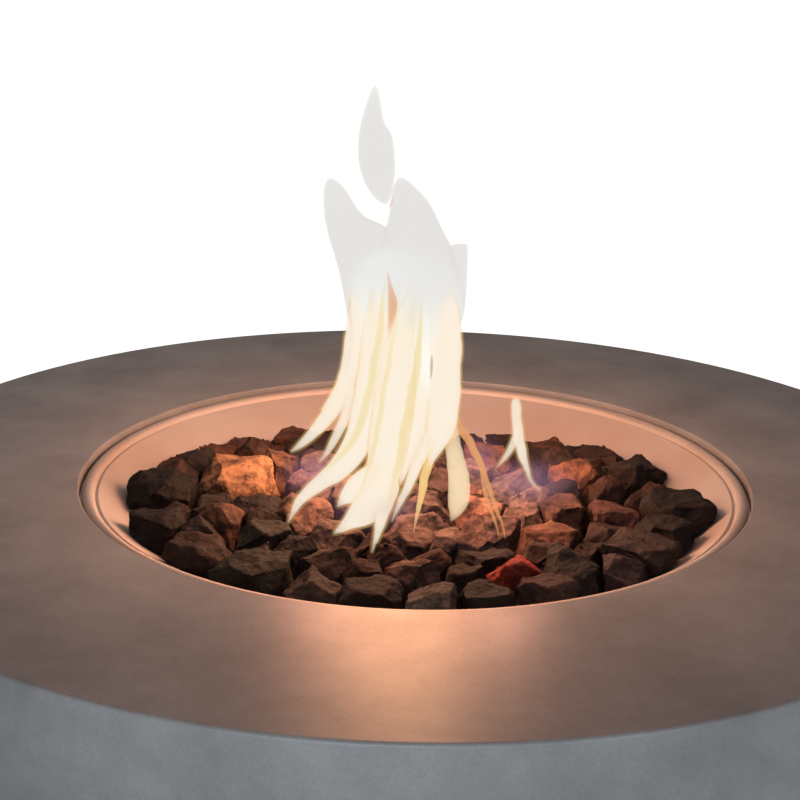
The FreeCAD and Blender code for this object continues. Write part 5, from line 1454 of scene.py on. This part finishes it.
@dataclass
class Studio:
    """Pale floor, white surroundings, soft lamps, the fire's light and the camera."""

    floor_size: float = 60.0
    floor_gap: float = 0.3 * MM
    world_light: float = 0.23
    floor_glow: float = 0.86
    floor_colour: str = "#e8e8e6"
    sensor_mm: float = 36.0
    focal_length_mm: float = 77.7
    eye: Triple = (0.0, -1.578, 0.993)
    pitch: float = math.radians(17.22)
    heading: float = math.radians(0.58)
    # Radians.
    roll: float = 0.0192

    LAMPS = (
        SoftBox("key", (-0.5, -3.0, 0.32), (0, -0.3, 0.22), (1.6, 0.5), 44, "#e6f3ff"),
        SoftBox("fill", (1.6, -2.8, 0.32), (0, -0.3, 0.22), (1.4, 0.5), 21, "#e6f3ff"),
        SoftBox("back", (-1.2, 2.6, 1.6), (0, 0, 0.4), (1.6, 1.0), 1.2, "#ffffff"),
        SoftBox("rear_left", (-2.1, 2.2, 0.2), (0, 0.3, 0.2), (1.0, 0.3), 12,
                "#eef6ff"),
        SoftBox("rear_right", (2.1, 2.2, 0.2), (0, 0.3, 0.2), (1.0, 0.3), 12,
                "#eef6ff"),
        SoftBox("front_top", (0.3, -1.6, 1.2), (0.1, -0.5, 0.43), (0.8, 0.3), 1.5,
                "#d5deff"),
    )
    FIRE = (
        SoftBox("fire_front", (-0.012, -0.05, 0.68), (-0.012, -1.0, 0.50), (0.11, 0.44),
                1.25, "#ffb580"),
        SoftBox("fire_back", (-0.012, 0.05, 0.58), (-0.012, 1.0, 0.36), (0.16, 0.26),
                1.0, "#ffc29c"),
        SoftBox("fire_left", (-0.06, 0.0, 0.52), (-1.0, 0.0, 0.36), (0.14, 0.18),
                1.15, "#ffc096"),
        SoftBox("fire_right", (0.06, 0.0, 0.52), (1.0, 0.0, 0.36), (0.14, 0.18),
                0.9, "#ffc096"),
        SoftBox("fire_foot", (0.0, -0.02, 0.56), (0.0, -0.02, 0.0), (0.24, 0.20),
                1.4, "#ffab88"),
        SoftBox("fire_glow", (0.0, 0.0, 1.3), (0.0, 0.0, 0.0), (0.7, 0.7),
                2.4, "#ffb69a"),
    )

    def build(self) -> None:
        """Make the whole studio."""
        self.surroundings()
        self.floor()
        for lamp in self.LAMPS + self.FIRE:
            lamp.build()
        self.camera()
        bpy.context.scene.view_settings.view_transform = "Standard"

    def surroundings(self) -> None:
        """White to the camera, softer as light and in the metal of the pan.

        A pan that mirrored full white would lose the warm colour of the fire.
        """
        world = bpy.data.worlds.new("white_studio")
        world.use_nodes = True
        world.node_tree.nodes.clear()
        rays = add_node(world, "ShaderNodeLightPath")
        seen = add_node(world, "ShaderNodeMath", {
            0: rays.outputs["Is Camera Ray"],
            1: rays.outputs["Is Transmission Ray"],
        }, operation="MAXIMUM")
        strength = add_node(world, "ShaderNodeMapRange", {
            "Value": seen.outputs[0],
            "To Min": self.world_light,
            "To Max": 1.0,
        })
        light = add_node(world, "ShaderNodeBackground", {
            "Color": (1.0, 1.0, 1.0, 1.0),
            "Strength": strength.outputs[0],
        })
        add_node(world, "ShaderNodeOutputWorld", {"Surface": light.outputs[0]})
        bpy.context.scene.world = world

    def floor(self) -> None:
        """Pale floor that glows just enough to be white and still takes a shadow."""
        deselect_all()
        bpy.ops.mesh.primitive_plane_add(
            size=self.floor_size, location=(0.0, 0.0, -self.floor_gap))
        floor = bpy.context.object
        floor.name = "floor"
        material = new_material("pale_floor")
        rays = add_node(material, "ShaderNodeLightPath")
        glow = add_node(material, "ShaderNodeMath", {
            0: rays.outputs["Is Camera Ray"],
            1: self.floor_glow,
        }, operation="MULTIPLY")
        shine = add_node(material, "ShaderNodeEmission", {"Strength": glow.outputs[0]})
        matte = add_node(material, "ShaderNodeBsdfDiffuse", {
            "Color": linear(self.floor_colour)})
        both = add_node(material, "ShaderNodeAddShader", {
            0: shine.outputs[0],
            1: matte.outputs[0],
        })
        finish_surface(material, both)
        floor.data.materials.append(material)

    def camera(self) -> None:
        """Camera at the photo's place, pitch, heading and roll."""
        data = bpy.data.cameras.new("photo_camera")
        data.sensor_width = self.sensor_mm
        data.lens = self.focal_length_mm
        camera = bpy.data.objects.new("photo_camera", data)
        bpy.context.collection.objects.link(camera)
        camera.matrix_world = (
            Matrix.Translation(self.eye)
            @ Matrix.Rotation(self.heading, 4, "Z")
            @ Matrix.Rotation(math.pi / 2 - self.pitch, 4, "X")
            @ Matrix.Rotation(self.roll, 4, "Z")
        )
        bpy.context.scene.camera = camera


def main() -> None:
    """Build the looks of the whole table."""
    logging.basicConfig(level=logging.INFO)
    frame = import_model()
    for sub_assembly in (
        BowlAndFeet(), PanAndBurner(), GasSupply(), Pilot(), Controls(), StoneBed(),
    ):
        sub_assembly.build(frame)
    Flame().build()
    Studio().build()


if __name__ == "__main__":
    main()
